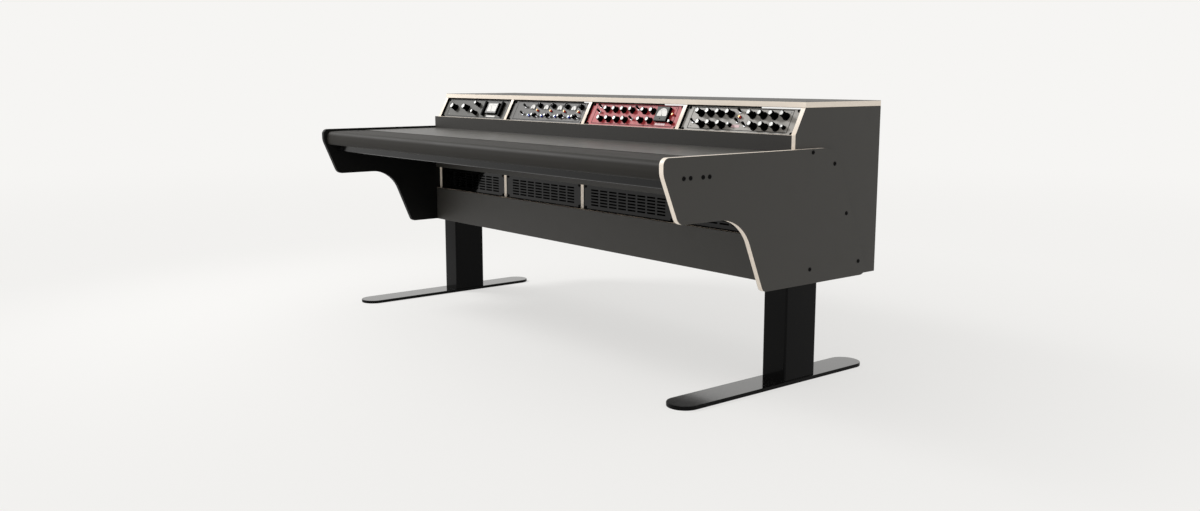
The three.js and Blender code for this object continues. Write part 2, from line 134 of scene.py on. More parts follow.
def linear(hex_colour: str) -> Colour:
    """Turns an sRGB hex colour into linear light.

    Args:
        hex_colour: six hex digits after a hash.

    Returns:
        Red, green, blue and a full alpha.
    """
    channels = [int(hex_colour[start : start + 2], 16) / 255 for start in (1, 3, 5)]
    values = [c / 12.92 if c <= 0.04045 else ((c + 0.055) / 1.055) ** 2.4 for c in channels]
    return (values[0], values[1], values[2], 1.0)


def per_metre(millimetres: float) -> float:
    """Texture scale at which one cell of a pattern is this many millimetres wide."""
    return 1 / (millimetres * MILLIMETRE)


def add_node(
    tree: Tree, kind: str, settings: dict[str, object], inputs: dict[str | int, object]
) -> bpy.types.Node:
    """Adds a node, sets its options and fills or links its inputs.

    Args:
        tree: the node tree that gets the node.
        kind: the node's type name.
        settings: options of the node by their names.
        inputs: values or output sockets by input name or number.

    Returns:
        The new node.
    """
    made = tree.nodes.new(kind)
    for option, value in settings.items():
        setattr(made, option, value)
    for socket, value in inputs.items():
        if isinstance(value, Socket):
            tree.links.new(value, made.inputs[socket])
        else:
            made.inputs[socket].default_value = value
    return made


# A mix node has sockets of one name for numbers and for colours, so those of its colours go by number
MIX = {"data_type": "RGBA"}
MIX_A, MIX_B, MIX_RESULT = 6, 7, 2


@dataclass(frozen=True)
class Finish:
    """A plain painted or moulded surface: two close tones, a fine bump and an uneven gloss.

    The tones are mixed by a cloudy noise, so no wall is one flat colour. The grit is the
    orange peel of paint or the spark finish of a mould.
    """

    name: str
    colour: str
    tone: str
    roughness: float
    spread: float = 0.06
    cloud_mm: float = 45.0
    cloud_detail: float = 3.0
    grit_mm: float = 1.6
    grit_depth_mm: float = 0.02
    grit_detail: float = 1.0
    metallic: float = 0.0
    specular: float = 0.5
    stretch: Size = (1.0, 1.0, 1.0)
    coat: float = 0.0
    coat_roughness: float = 0.08
    glow: float = 0.0

    def build(self) -> bpy.types.Material:
        """Makes the material.

        Returns:
            The finished material, with this finish's name.
        """
        material = bpy.data.materials.new(self.name)
        material.use_nodes = True
        tree = material.node_tree
        shader = tree.nodes["Principled BSDF"]
        self.set_shader(shader)
        place = self.coordinates(tree)
        inputs = {"Vector": place, "Scale": per_metre(self.cloud_mm), "Detail": self.cloud_detail}
        cloud = add_node(tree, "ShaderNodeTexNoise", {}, inputs).outputs["Fac"]
        tree.links.new(self.tones(tree, place, cloud), shader.inputs["Base Color"])
        self.roughen(tree, shader, cloud)
        self.emboss(tree, shader, place)
        return material

    def set_shader(self, shader: bpy.types.Node) -> None:
        """Sets the values that are the same all over the surface.

        Args:
            shader: the material's shader node.
        """
        shader.inputs["Metallic"].default_value = self.metallic
        shader.inputs["Specular IOR Level"].default_value = self.specular
        shader.inputs["Coat Weight"].default_value = self.coat
        shader.inputs["Coat Roughness"].default_value = self.coat_roughness
        shader.inputs["Emission Color"].default_value = linear(self.tone)
        shader.inputs["Emission Strength"].default_value = self.glow

    def coordinates(self, tree: Tree) -> Socket:
        """Reads the Object coordinates, drawn out along the grain.

        Args:
            tree: the material's nodes.

        Returns:
            The coordinates.
        """
        texture = add_node(tree, "ShaderNodeTexCoord", {}, {})
        inputs = {"Vector": texture.outputs["Object"], "Scale": self.stretch}
        return add_node(tree, "ShaderNodeMapping", {}, inputs).outputs["Vector"]

    def tones(self, tree: Tree, place: Socket, share: Socket) -> Socket:
        """The two tones, mixed by a share from 0 to 1."""
        inputs = {0: share, MIX_A: linear(self.colour), MIX_B: linear(self.tone)}
        return add_node(tree, "ShaderNodeMix", MIX, inputs).outputs[MIX_RESULT]

    def roughen(self, tree: Tree, shader: bpy.types.Node, cloud: Socket) -> None:
        """Lets the roughness wander around its value.

        Args:
            tree: the material's nodes.
            shader: the material's shader node.
            cloud: the noise that it follows.
        """
        low, high = self.roughness - self.spread, self.roughness + self.spread
        ranged = add_node(tree, "ShaderNodeMapRange", {}, {"Value": cloud, "To Min": low, "To Max": high})
        tree.links.new(ranged.outputs["Result"], shader.inputs["Roughness"])

    def relief(self, tree: Tree, place: Socket) -> Socket:
        """The height of the fine texture."""
        inputs = {"Vector": place, "Scale": per_metre(self.grit_mm), "Detail": self.grit_detail}
        return add_node(tree, "ShaderNodeTexNoise", {}, inputs).outputs["Fac"]

    def emboss(self, tree: Tree, shader: bpy.types.Node, place: Socket) -> None:
        """Adds the fine texture as a bump.

        Args:
            tree: the material's nodes.
            shader: the material's shader node.
            place: the coordinates that it follows.
        """
        inputs = {"Height": self.relief(tree, place), "Distance": self.grit_depth_mm * MILLIMETRE}
        bump = add_node(tree, "ShaderNodeBump", {}, inputs)
        tree.links.new(bump.outputs["Normal"], shader.inputs["Normal"])


@dataclass(frozen=True)
class PlyEdge(Finish):
    """Sanded and lacquered birch plywood edge: pale plies, with every other one a little darker.

    The plies of an 18 mm board are 1.4 mm thick and run along the board, so the bands
    follow the board's thickness.
    """

    axis: Axis = Axis.X
    ply_mm: float = 1.4

    def tones(self, tree: Tree, place: Socket, share: Socket) -> Socket:
        """Bands of long grain and end grain across the thickness.

        Args:
            tree: the material's nodes.
            place: the coordinates across which the bands lie.
            share: the noise that makes them uneven.

        Returns:
            The colour.
        """
        split = add_node(tree, "ShaderNodeSeparateXYZ", {}, {0: place})
        turns = {0: split.outputs[self.axis.value], 1: pi * per_metre(self.ply_mm)}
        phase = add_node(tree, "ShaderNodeMath", {"operation": "MULTIPLY"}, turns)
        wave = add_node(tree, "ShaderNodeMath", {"operation": "SINE"}, {0: phase.outputs[0]})
        uneven = {0: wave.outputs[0], 1: share}
        shift = add_node(tree, "ShaderNodeMath", {"operation": "ADD"}, uneven)
        smooth = {"interpolation_type": "SMOOTHSTEP"}
        band = add_node(tree, "ShaderNodeMapRange", smooth, {"Value": shift.outputs[0]})
        return super().tones(tree, place, band.outputs["Result"])


@dataclass(frozen=True)
class Leatherette(Finish):
    """Coated fabric with an embossed leather grain: small pebbles with fine valleys between."""

    pebble_mm: float = 1.8

    def relief(self, tree: Tree, place: Socket) -> Socket:
        """Pebbles of the leather grain, drawn a little coarser than the real ones to show."""
        inputs = {"Vector": place, "Scale": per_metre(self.pebble_mm)}
        return add_node(tree, "ShaderNodeTexVoronoi", {"feature": "SMOOTH_F1"}, inputs).outputs["Distance"]


# Laminate pressed against a fine plate: brown black, with a soft even sheen
LAMINATE = Finish(
    "pressed_laminate", "#33312d", "#383632", 0.52, specular=0.45, grit_mm=0.9, grit_depth_mm=0.012
)
# The riser's board: the same laminate painted a shade darker and duller than the others, as painted shade
RISER_PAINTED_SHADE = Finish("riser_painted_shade_laminate", "#272522", "#2c2a27", 0.52, specular=0.35)
# Near black laminate: painted shade on the faces inside the console, on the dividers and under the top
# board; the left cheek also wears it on its inner face and edges
PAINTED_SHADE_LAMINATE = Finish("painted_shade_laminate", "#0b0b0a", "#0e0e0d", 0.5, specular=0.12, grit_depth_mm=0.012)
# The worktop's harder face, which mirrors the light a little
TOP_LAMINATE = Finish("worktop_laminate", "#35332f", "#3a3834", 0.42, grit_mm=0.9, grit_depth_mm=0.012)
# Birch plies under clear lacquer: pale cream edges, which show every board's outline
PLY = {
    axis: PlyEdge(f"birch_ply_edge_{axis.name.lower()}", "#fbf0e3", "#eddfcd", 0.45, axis=axis, cloud_mm=9)
    for axis in Axis
}
# Leatherette pulled tight over foam: dull, with a grain drawn out along the desk
PADDING = Leatherette(
    "embossed_leatherette", "#211f1c", "#262420", 0.6,
    specular=0.15, grit_depth_mm=0.06, stretch=(0.25, 1.0, 1.0),
)
# Sprayed gloss enamel: deep black with clear reflections
COLUMN_ENAMEL = Finish("column_enamel", "#050505", "#080808", 0.15, spread=0.03, specular=0.08)
FOOT_ENAMEL = Finish("foot_enamel", "#060606", "#090909", 0.12, spread=0.03, specular=0.4, coat=0.35)
BEAM_ENAMEL = Finish("beam_enamel", "#0b0b0b", "#0e0e0e", 0.14, spread=0.03, specular=0.25)
VENT_ENAMEL = Finish(
    "vent_panel_enamel", "#040404", "#070707", 0.06, spread=0.015, specular=0.25, grit_depth_mm=0.004
)
# The laser cut rim of the feet takes the enamel thinly and stays dull
FOOT_RIM = Finish("foot_rim_enamel", "#040404", "#070707", 0.4, specular=0.08)
# Powder coated steel: satin black with a fine orange peel
SATIN_BLACK = Finish("satin_black_powder_coat", "#0f0f10", "#141415", 0.38, grit_depth_mm=0.03)
# Steel screws blackened in an oil bath: nearly no shine
SCREW_BLACK = Finish("blackened_screw", "#030303", "#060606", 0.5, specular=0.08)
# Passivated and painted sheet of the units' chassis: dark grey
CHASSIS_STEEL = Finish("chassis_steel", "#191a1b", "#1f2021", 0.42)
# Steel turned on a lathe: bright, with its tool marks around the axis
TURNED_STEEL = Finish("turned_steel", "#b4b5b6", "#9fa1a3", 0.28, metallic=1.0, stretch=(1.0, 1.0, 9.0))
# Moulded ABS with the fine spark finish of its mould
GREY_PLASTIC = Finish("grey_moulded_plastic", "#55575a", "#5d5f62", 0.45, grit_mm=0.7)
BLACK_PLASTIC = Finish("black_moulded_plastic", "#141415", "#19191a", 0.4, grit_mm=0.7)
# Moulded plastic of the knobs: a deep black that hardly mirrors
KNOB_BLACK = Finish("black_knob_plastic", "#030303", "#060606", 0.45, spread=0.04, specular=0.025)
# Spun aluminium under clear lacquer: pale and softly bright
CAP_METAL = Finish("spun_aluminium_cap", "#b6b6b4", "#aaaaa8", 0.6, metallic=1.0, grit_depth_mm=0.01)
# Nickel plated brass nuts: bright, with a broad soft highlight
NUT_METAL = Finish("nickel_nut", "#c4c5c6", "#b2b3b5", 0.5, metallic=1.0)
# Semi matt enamel of the four face plates, each in its own colour
GRAPHITE_FACE = Finish("graphite_face_enamel", "#484743", "#4e4d49", 0.48, specular=0.26, cloud_mm=30)
SLATE_FACE = Finish("slate_face_enamel", "#454340", "#4b4946", 0.48, specular=0.26, cloud_mm=30)
RED_FACE = Finish("red_face_enamel", "#a43236", "#ac3a3e", 0.48, specular=0.26, cloud_mm=30)
PALE_FACE = Finish("pale_face_enamel", "#94908a", "#9c9891", 0.48, specular=0.3, cloud_mm=30)
# Dull paint run into an engraved line: a fine dark outline
GROOVE_PAINT = Finish("groove_paint", "#0e0d0d", "#141313", 0.6, specular=0.1)
# Coated card behind the meters' needles: off white, without glare
METER_CARD = Finish("printed_meter_card", "#dad8d4", "#d2d0ca", 0.45, specular=0.2)
METER_INK = Finish("meter_ink", "#1c1b1b", "#242322", 0.5)
# Moulded fronts of the meters' boxes: mid grey, a little lighter than the boxes
METER_BEZEL = Finish("meter_bezel", "#4a4946", "#52514e", 0.5)
METER_FRAME = Finish("meter_surround", "#454744", "#4d4f4c", 0.55, specular=0.2)
# Index lines filled with white paint: they show which way a knob is turned
WHITE_PAINT = Finish("white_index_paint", "#f0efec", "#e6e4e0", 0.4)
# Painted plates, left bare: pale, with a warm cast
LABEL_PALE = Finish("bare_pale_plate", "#d8bcbd", "#d0aeb0", 0.45, specular=0.2)
# Cast acrylic lenses with a small lamp behind: clear colours that glow faintly. The amber and ice caps of
# the red and blue lamps are painted highlights on their domes, which glow a little more
RED_LENS = Finish("red_lamp_lens", "#a00410", "#d80a18", 0.12, coat=1.0, glow=0.15)
BLUE_LENS = Finish("blue_lamp_lens", "#0b1692", "#1526d8", 0.12, coat=1.0, glow=0.15)
RED_LAMP_PAINTED_HIGHLIGHT = Finish("red_lamp_painted_highlight", "#e8b83e", "#f4cf68", 0.3, specular=0.3, glow=0.2)
BLUE_LAMP_PAINTED_HIGHLIGHT = Finish("blue_lamp_painted_highlight", "#bfe4ea", "#dff6fa", 0.12, coat=1.0, glow=0.3)


@cache
def material_of(finish: Finish) -> bpy.types.Material:
    """The material of a finish, built when it is first asked for."""
    return finish.build()


# Shapes

# Steps are faces across a rounding, and limits are angles between two faces
PROFILE = 0.5
RIM_STEPS = 2
CORNER_STEPS = 5
FRONT_SHARE = 0.99
MERGE = 1e-6
FLAT_LIMIT = radians(0.4)
CRISP_LIMIT = radians(40)
SMOOTH_LIMIT = radians(32)


def rounded(bm: Shape, edges: list[Edge], width: float, segments: int = RIM_STEPS) -> None:
    """Rounds edges.

    Args:
        bm: the mesh that holds the edges.
        edges: the edges to round.
        width: offset of the bevel.
        segments: number of faces across it.
    """
    bmesh.ops.bevel(
        bm, geom=edges, offset=width, offset_type="OFFSET", segments=segments,
        profile=PROFILE, affect="EDGES", material=-1, clamp_overlap=True,
    )


def soften_front(bm: Shape, thick: float, rim: float) -> None:
    """Rounds the edges around a flat shape's front face, where it has a rim.

    Args:
        bm: the shape, standing on the XY plane.
        thick: height of its front face.
        rim: width of the bevel, or 0 for none.
    """
    if rim > 0:
        front = [e for e in bm.edges if min(v.co.z for v in e.verts) > thick * FRONT_SHARE]
        rounded(bm, front, rim)


def slab(size: Size, corner: float = 0.0, rim: float = 0.0) -> Shape:
    """A plate that stands on the XY plane, with rounded corners and a softened front rim.

    Args:
        size: width, height and thickness.
        corner: radius of the four corners.
        rim: width of the bevel around the front face.

    Returns:
        The plate, centred on the Z axis.
    """
    bm = bmesh.new()
    lift = Matrix.Translation((0, 0, size[2] / 2)) @ Matrix.Diagonal((*size, 1.0))
    bmesh.ops.create_cube(bm, size=1.0, matrix=lift)
    if corner > 0:
        upright = [e for e in bm.edges if abs(e.verts[0].co.z - e.verts[1].co.z) > size[2] / 2]
        rounded(bm, upright, corner, CORNER_STEPS)
    soften_front(bm, size[2], rim)
    return bm


def turned(profile: list[Point] | tuple[Point, ...], steps: int) -> Shape:
    """Spins a profile about the Z axis.

    Args:
        profile: radius and height of each point, from axis to axis.
        steps: number of faces around.

    Returns:
        The closed turned shape.
    """
    bm = bmesh.new()
    verts = [bm.verts.new((radius, 0, height)) for radius, height in profile]
    edges = [bm.edges.new(pair) for pair in zip(verts, verts[1:])]
    bmesh.ops.spin(
        bm, geom=verts + edges, axis=(0, 0, 1), cent=(0, 0, 0), angle=2 * pi, steps=steps, use_merge=True
    )
    bmesh.ops.remove_doubles(bm, verts=bm.verts, dist=MERGE)
    bmesh.ops.recalc_face_normals(bm, faces=bm.faces)
    return bm


def prism(outline: list[Point], thick: float, rim: float = 0.0) -> Shape:
    """Extrudes a flat outline along +Z.

    Args:
        outline: corners of the outline, in order.
        thick: height of the prism.
        rim: width of the bevel around the front face.

    Returns:
        The closed prism.
    """
    bm = bmesh.new()
    face = bm.faces.new([bm.verts.new((x, y, 0)) for x, y in outline])
    raised = bmesh.ops.extrude_face_region(bm, geom=[face])["geom"]
    lifted = [v for v in raised if isinstance(v, bmesh.types.BMVert)]
    bmesh.ops.translate(bm, verts=lifted, vec=(0, 0, thick))
    bmesh.ops.recalc_face_normals(bm, faces=bm.faces)
    soften_front(bm, thick, rim)
    return bm


def arc(radius: float, start: float, end: float, steps: int, centre: Point = (0.0, 0.0)) -> list[Point]:
    """Points on an arc.

    Args:
        radius: the arc's radius.
        start: first angle in degrees.
        end: last angle in degrees.
        steps: number of stretches.
        centre: the arc's centre.

    Returns:
        The points, both ends among them.
    """
    angles = [radians(start + (end - start) * i / steps) for i in range(steps + 1)]
    return [(centre[0] + radius * cos(a), centre[1] + radius * sin(a)) for a in angles]


def moved(shape: Shape, place: Size) -> Shape:
    """The shape, moved to a place in its own frame."""
    bmesh.ops.translate(shape, verts=shape.verts, vec=place)
    return shape


def shift(x: float, y: float, z: float) -> Matrix:
    """A move along a seat's own axes."""
    return Matrix.Translation((x, y, z))


def twist(degrees: float) -> Matrix:
    """A turn about a seat's outward axis."""
    return Matrix.Rotation(radians(degrees), 4, "Z")


def seat_on(origin: Vector, right: Vector, out: Vector) -> Matrix:
    """A seat whose X axis runs along right and whose Z axis points out of the surface.

    Args:
        origin: the seat's place.
        right: direction of its X axis.
        out: direction of its Z axis.

    Returns:
        The seat's matrix.
    """
    turn = Matrix((right, out.cross(right), out)).transposed()
    return Matrix.Translation(origin) @ turn.to_4x4()


def eased_copy(node: str, ease: Ease) -> Shape:
    """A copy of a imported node's mesh, its flat faces whole again and its crisp edges softened.

    Args:
        node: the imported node.
        ease: how far its edges are softened.

    Returns:
        The copy, in the node's own place.
    """
    bm = bmesh.new()
    bm.from_mesh(frame["nodes"][node].data)
    bmesh.ops.remove_doubles(bm, verts=bm.verts, dist=MERGE)
    bmesh.ops.dissolve_limit(bm, angle_limit=FLAT_LIMIT, verts=bm.verts, edges=bm.edges)
    crisp = [e for e in bm.edges if e.is_manifold and e.calc_face_angle(0.0) > CRISP_LIMIT]
    rounded(bm, crisp, ease.value)
    return bm


class Piece:
    """A mesh under construction, made of shapes that are set in place one by one."""

    def __init__(self, name: str, *finishes: Finish | None, smooth: float = SMOOTH_LIMIT) -> None:
        """Starts an empty piece.

        Args:
            name: the piece's name.
            finishes: what it wears, in the order of its faces' numbers, with None left out.
            smooth: angle up to which neighbouring faces shade as one.
        """
        self.name = name
        self.finishes = [finish for finish in finishes if finish]
        self.smooth = smooth
        self.mesh = bpy.data.meshes.new(name)
        self.bm = bmesh.new()

    def take(self, shape: Shape) -> None:
        """Adds a shape where it is, with the finishes that its faces have.

        Args:
            shape: the shape, which is used up.
        """
        shape.to_mesh(self.mesh)
        shape.free()
        self.bm.from_mesh(self.mesh)

    def add(self, shape: Shape, seat: Matrix, finish: Finish | None = None) -> None:
        """Sets a shape in place.

        Args:
            shape: the shape, which is used up.
            seat: where its origin and axes go.
            finish: the one of the piece's finishes that it wears, or None for the first.
        """
        number = self.finishes.index(finish) if finish else 0
        for face in shape.faces:
            face.material_index = number
        bmesh.ops.transform(shape, matrix=seat, verts=shape.verts)
        self.take(shape)

    def done(self, slot: Slot, *replaced: str, body: Body = Body.CONSOLE) -> bpy.types.Object:
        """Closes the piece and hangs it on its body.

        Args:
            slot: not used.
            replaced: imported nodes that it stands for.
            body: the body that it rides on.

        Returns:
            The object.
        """
        for face in self.bm.faces:
            face.smooth = True
        for edge in self.bm.edges:
            edge.smooth = edge.calc_face_angle(0.0) < self.smooth
        self.bm.to_mesh(self.mesh)
        self.bm.free()
        for finish in self.finishes:
            self.mesh.materials.append(material_of(finish))
        made = bpy.data.objects.new(self.name, self.mesh)
        bpy.context.scene.collection.objects.link(made)
        made.modifiers.new("flat_faces_shade_flat", "WEIGHTED_NORMAL").keep_sharp = True
        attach(made, body.value)
        if replaced:
            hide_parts(*replaced)
        LOG.info("%s: %d faces on %s", self.name, len(self.mesh.polygons), body.value)
        return made


# Flat faces that fittings sit on


@dataclass(frozen=True)
class Face:
    """A flat face: its middle, the direction to its right, the direction out of it and its size."""

    middle: Vector
    right: Vector
    out: Vector
    width: float
    height: float

    def seat(self, share: Point) -> Matrix:
        """A seat on the face.

        Args:
            share: place across and up, as shares of the face's width and height.

        Returns:
            The seat's matrix.
        """
        up = self.out.cross(self.right)
        across = self.right * share[0] * self.width + up * share[1] * self.height
        return seat_on(self.middle + across, self.right, self.out)


@dataclass(frozen=True)
class RackGrid:
    """The face plates of the bays: 19 inch panels, two units high."""

    panel_width: float = 0.4826
    panel_height: float = 0.0881
    hole_spacing: Point = (0.4651, 0.0762)
    lean: float = radians(28)

    @property
    def out(self) -> Vector:
        """The direction out of the leaning face plates."""
        return Vector((0, -cos(self.lean), sin(self.lean)))

    def unit(self, bay: int) -> Face:
        """The leaning face plate of an upper bay.

        Args:
            bay: number of the bay, from the left.

        Returns:
            The face.
        """
        low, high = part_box(f"rack_unit_{bay}")
        half = self.panel_height / 2
        depth, height = low.y + half * sin(self.lean), high.z - half * cos(self.lean)
        middle = Vector(((low.x + high.x) / 2, depth, height))
        return Face(middle, RIGHT, self.out, self.panel_width, self.panel_height)

    def vent(self, bay: int) -> Face:
        """The upright face of a vented panel.

        Args:
            bay: number of the bay, from the left.

        Returns:
            The face.
        """
        low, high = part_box(f"vent_panel_{bay}")
        middle = Vector(((low.x + high.x) / 2, low.y, (low.z + high.z) / 2))
        return Face(middle, RIGHT, FRONT, self.panel_width, self.panel_height)

    def corners(self) -> list[Point]:
        """Works out where the four rack holes of a panel are.

        Returns:
            Their shares of the panel's width and height.
        """
        across = self.hole_spacing[0] / self.panel_width / 2
        up = self.hole_spacing[1] / self.panel_height / 2
        return [(x, y) for x in (-across, across) for y in (-up, up)]


RACK = RackGrid()


# Boards


@dataclass(frozen=True)
class BoardSpec:
    """One board: its node, its thickness axis and what its two faces and its edges wear.

    The edges of a board without an edge finish are bare plywood. A wrapped board wears
    its high face's finish on its rear edges too.
    """

    node: str
    axis: Axis
    low_face: Finish = LAMINATE
    high_face: Finish = LAMINATE
    edge: Finish | None = None
    slot: Slot = Slot.LAMINATE
    wrapped: bool = False

    def finishes(self) -> tuple[Finish, Finish, Finish]:
        """What the low face, the high face and the edges wear, in the order of their numbers."""
        return self.low_face, self.high_face, self.edge or PLY[self.axis]


@dataclass
class Timber:
    """The boards of the cheeks and the console, with eased edges."""

    ease: Ease = Ease.SOFT
    face_share: float = 0.3
    rear_share: float = 0.2
    dividers: tuple[str, ...] = ("divider_left", "divider_centre", "divider_right")
    facing: tuple[str, ...] = ("valance_panel", "modesty_panel", "back_panel_left", "back_panel_right")

    def specs(self) -> list[BoardSpec]:
        """Lists every board of the desk.

        Returns:
            The boards, with what they wear.
        """
        return [
            # Faces inside the console, on the dividers and under the top board wear near black laminate as
            # painted shade
            BoardSpec("cheek_left", Axis.X, LAMINATE, PAINTED_SHADE_LAMINATE, PAINTED_SHADE_LAMINATE),
            BoardSpec("cheek_right", Axis.X, PAINTED_SHADE_LAMINATE, LAMINATE, wrapped=True),
            BoardSpec("console_side_left", Axis.X, LAMINATE, PAINTED_SHADE_LAMINATE),
            BoardSpec("console_side_right", Axis.X, PAINTED_SHADE_LAMINATE, LAMINATE),
            BoardSpec("worktop", Axis.Z, LAMINATE, TOP_LAMINATE, TOP_LAMINATE, Slot.WORKTOP),
            BoardSpec("top_board", Axis.Z, PAINTED_SHADE_LAMINATE),
            BoardSpec("bottom_board", Axis.Z),
            *(BoardSpec(node, Axis.X, PAINTED_SHADE_LAMINATE, PAINTED_SHADE_LAMINATE) for node in self.dividers),
            *(BoardSpec(node, Axis.Y) for node in self.facing),
            # The riser's laminate is painted a shade darker, as painted shade
            BoardSpec("riser_panel", Axis.Y, RISER_PAINTED_SHADE),
        ]

    def finish_number(self, spec: BoardSpec, normal: Vector) -> int:
        """Finds what a face of a board wears.

        Args:
            spec: the board.
            normal: the direction out of the face.

        Returns:
            0 for the low face's finish, 1 for the high face's and 2 for the edges'.
        """
        if spec.wrapped and normal.y > self.rear_share:
            return 1
        along = normal[spec.axis.value]
        return 2 if abs(along) < self.face_share else int(along > 0)

    def build(self) -> None:
        """Makes each board's eased copy, with faces and edges in their own finishes."""
        for spec in self.specs():
            piece = Piece(f"{spec.node}_board", *spec.finishes())
            shape = eased_copy(spec.node, self.ease)
            for face in shape.faces:
                face.material_index = self.finish_number(spec, face.normal)
            piece.take(shape)
            piece.done(spec.slot, spec.node)


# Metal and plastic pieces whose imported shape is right, with their edges eased


@dataclass(frozen=True)
class EasedSpec:
    """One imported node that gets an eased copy, some with a second finish on part of it."""

    node: str
    finish: Finish
    slot: Slot
    ease: Ease
    second: Finish | None = None
    body: Body = Body.CONSOLE


@dataclass
class Hardware:
    """The steel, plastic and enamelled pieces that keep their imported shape."""

    plate_thick: float = 0.0034
    rim_share: float = 0.8
    units: tuple[tuple[Finish, Slot], ...] = (
        (GRAPHITE_FACE, Slot.UNIT_GREY), (SLATE_FACE, Slot.UNIT_SLATE),
        (RED_FACE, Slot.UNIT_RED), (PALE_FACE, Slot.UNIT_PALE),
    )

    def under_worktop(self) -> list[EasedSpec]:
        """Lists what hangs under the worktop.

        Returns:
            The beams, the control box, the hand control and its buttons.
        """
        return [
            EasedSpec("beam_front", BEAM_ENAMEL, Slot.BLACK_STEEL, Ease.FORMED),
            EasedSpec("beam_rear", BEAM_ENAMEL, Slot.BLACK_STEEL, Ease.FORMED),
            EasedSpec("control_box", BLACK_PLASTIC, Slot.BLACK_PLASTIC, Ease.CASE),
            EasedSpec("hand_control", BLACK_PLASTIC, Slot.BLACK_PLASTIC, Ease.SOFT),
            EasedSpec("hand_button_up", GREY_PLASTIC, Slot.GREY_PLASTIC, Ease.SOFT, body=Body.BUTTON_UP),
            EasedSpec("hand_button_down", GREY_PLASTIC, Slot.GREY_PLASTIC, Ease.SOFT, body=Body.BUTTON_DOWN),
        ]

    def lifting(self, side: str) -> list[EasedSpec]:
        """Lists the pieces of one leg.

        Args:
            side: left or right.

        Returns:
            The pieces, some of which ride on the console.
        """
        leg, spindle = Body(f"leg_{side}"), Body(f"spindle_{side}")
        gloss, bare = Slot.GLOSS_STEEL, Slot.BARE_STEEL
        return [
            EasedSpec(f"foot_plate_{side}", FOOT_ENAMEL, gloss, Ease.BROAD, FOOT_RIM, leg),
            EasedSpec(f"outer_column_{side}", COLUMN_ENAMEL, gloss, Ease.DRAWN, body=leg),
            EasedSpec(f"guide_collar_{side}", BLACK_PLASTIC, Slot.BLACK_PLASTIC, Ease.FORMED, body=leg),
            EasedSpec(f"nut_post_{side}", TURNED_STEEL, bare, Ease.FINE, body=leg),
            EasedSpec(f"inner_column_{side}", COLUMN_ENAMEL, gloss, Ease.DRAWN),
            EasedSpec(f"lift_bracket_{side}", SATIN_BLACK, Slot.BLACK_STEEL, Ease.FORMED),
            EasedSpec(f"lift_motor_{side}", GREY_PLASTIC, Slot.GREY_PLASTIC, Ease.BROAD),
            EasedSpec(f"lift_spindle_{side}", TURNED_STEEL, bare, Ease.SOFT, body=spindle),
        ]

    def rack(self) -> list[EasedSpec]:
        """Lists what is screwed into the bays.

        Returns:
            The vented panels, the rails and the units.
        """
        made = []
        for bay in BAYS:
            made.append(EasedSpec(f"vent_panel_{bay}", VENT_ENAMEL, Slot.VENT_STEEL, Ease.CRISP))
            made += [EasedSpec(f"rack_rail_{bay}_{side}", SATIN_BLACK, Slot.BLACK_STEEL, Ease.CRISP)
                     for side in SIDES]
        made += [EasedSpec(f"rack_unit_{bay}", finish, slot, Ease.FINE, CHASSIS_STEEL)
                 for bay, (finish, slot) in zip(BAYS, self.units)]
        return made

    def darken(self, spec: EasedSpec, shape: Shape) -> None:
        """Gives a foot plate's rim and underside, or a unit's chassis, the second finish.

        Args:
            spec: the piece.
            shape: its eased copy.
        """
        if spec.second is FOOT_RIM:
            for face in shape.faces:
                face.material_index = int(face.normal.z < self.rim_share)
        elif spec.second is CHASSIS_STEEL:
            plate = RACK.unit(int(spec.node[-1])).middle
            for face in shape.faces:
                behind = (plate - face.calc_center_median()).dot(RACK.out)
                face.material_index = int(behind > self.plate_thick)

    def build(self) -> None:
        """Makes every eased copy."""
        legs = [spec for side in SIDES for spec in self.lifting(side)]
        for spec in self.under_worktop() + legs + self.rack():
            piece = Piece(f"{spec.node}_eased", spec.finish, spec.second)
            shape = eased_copy(spec.node, spec.ease)
            self.darken(spec, shape)
            piece.take(shape)
            piece.done(spec.slot, spec.node, body=spec.body)


# Armrest


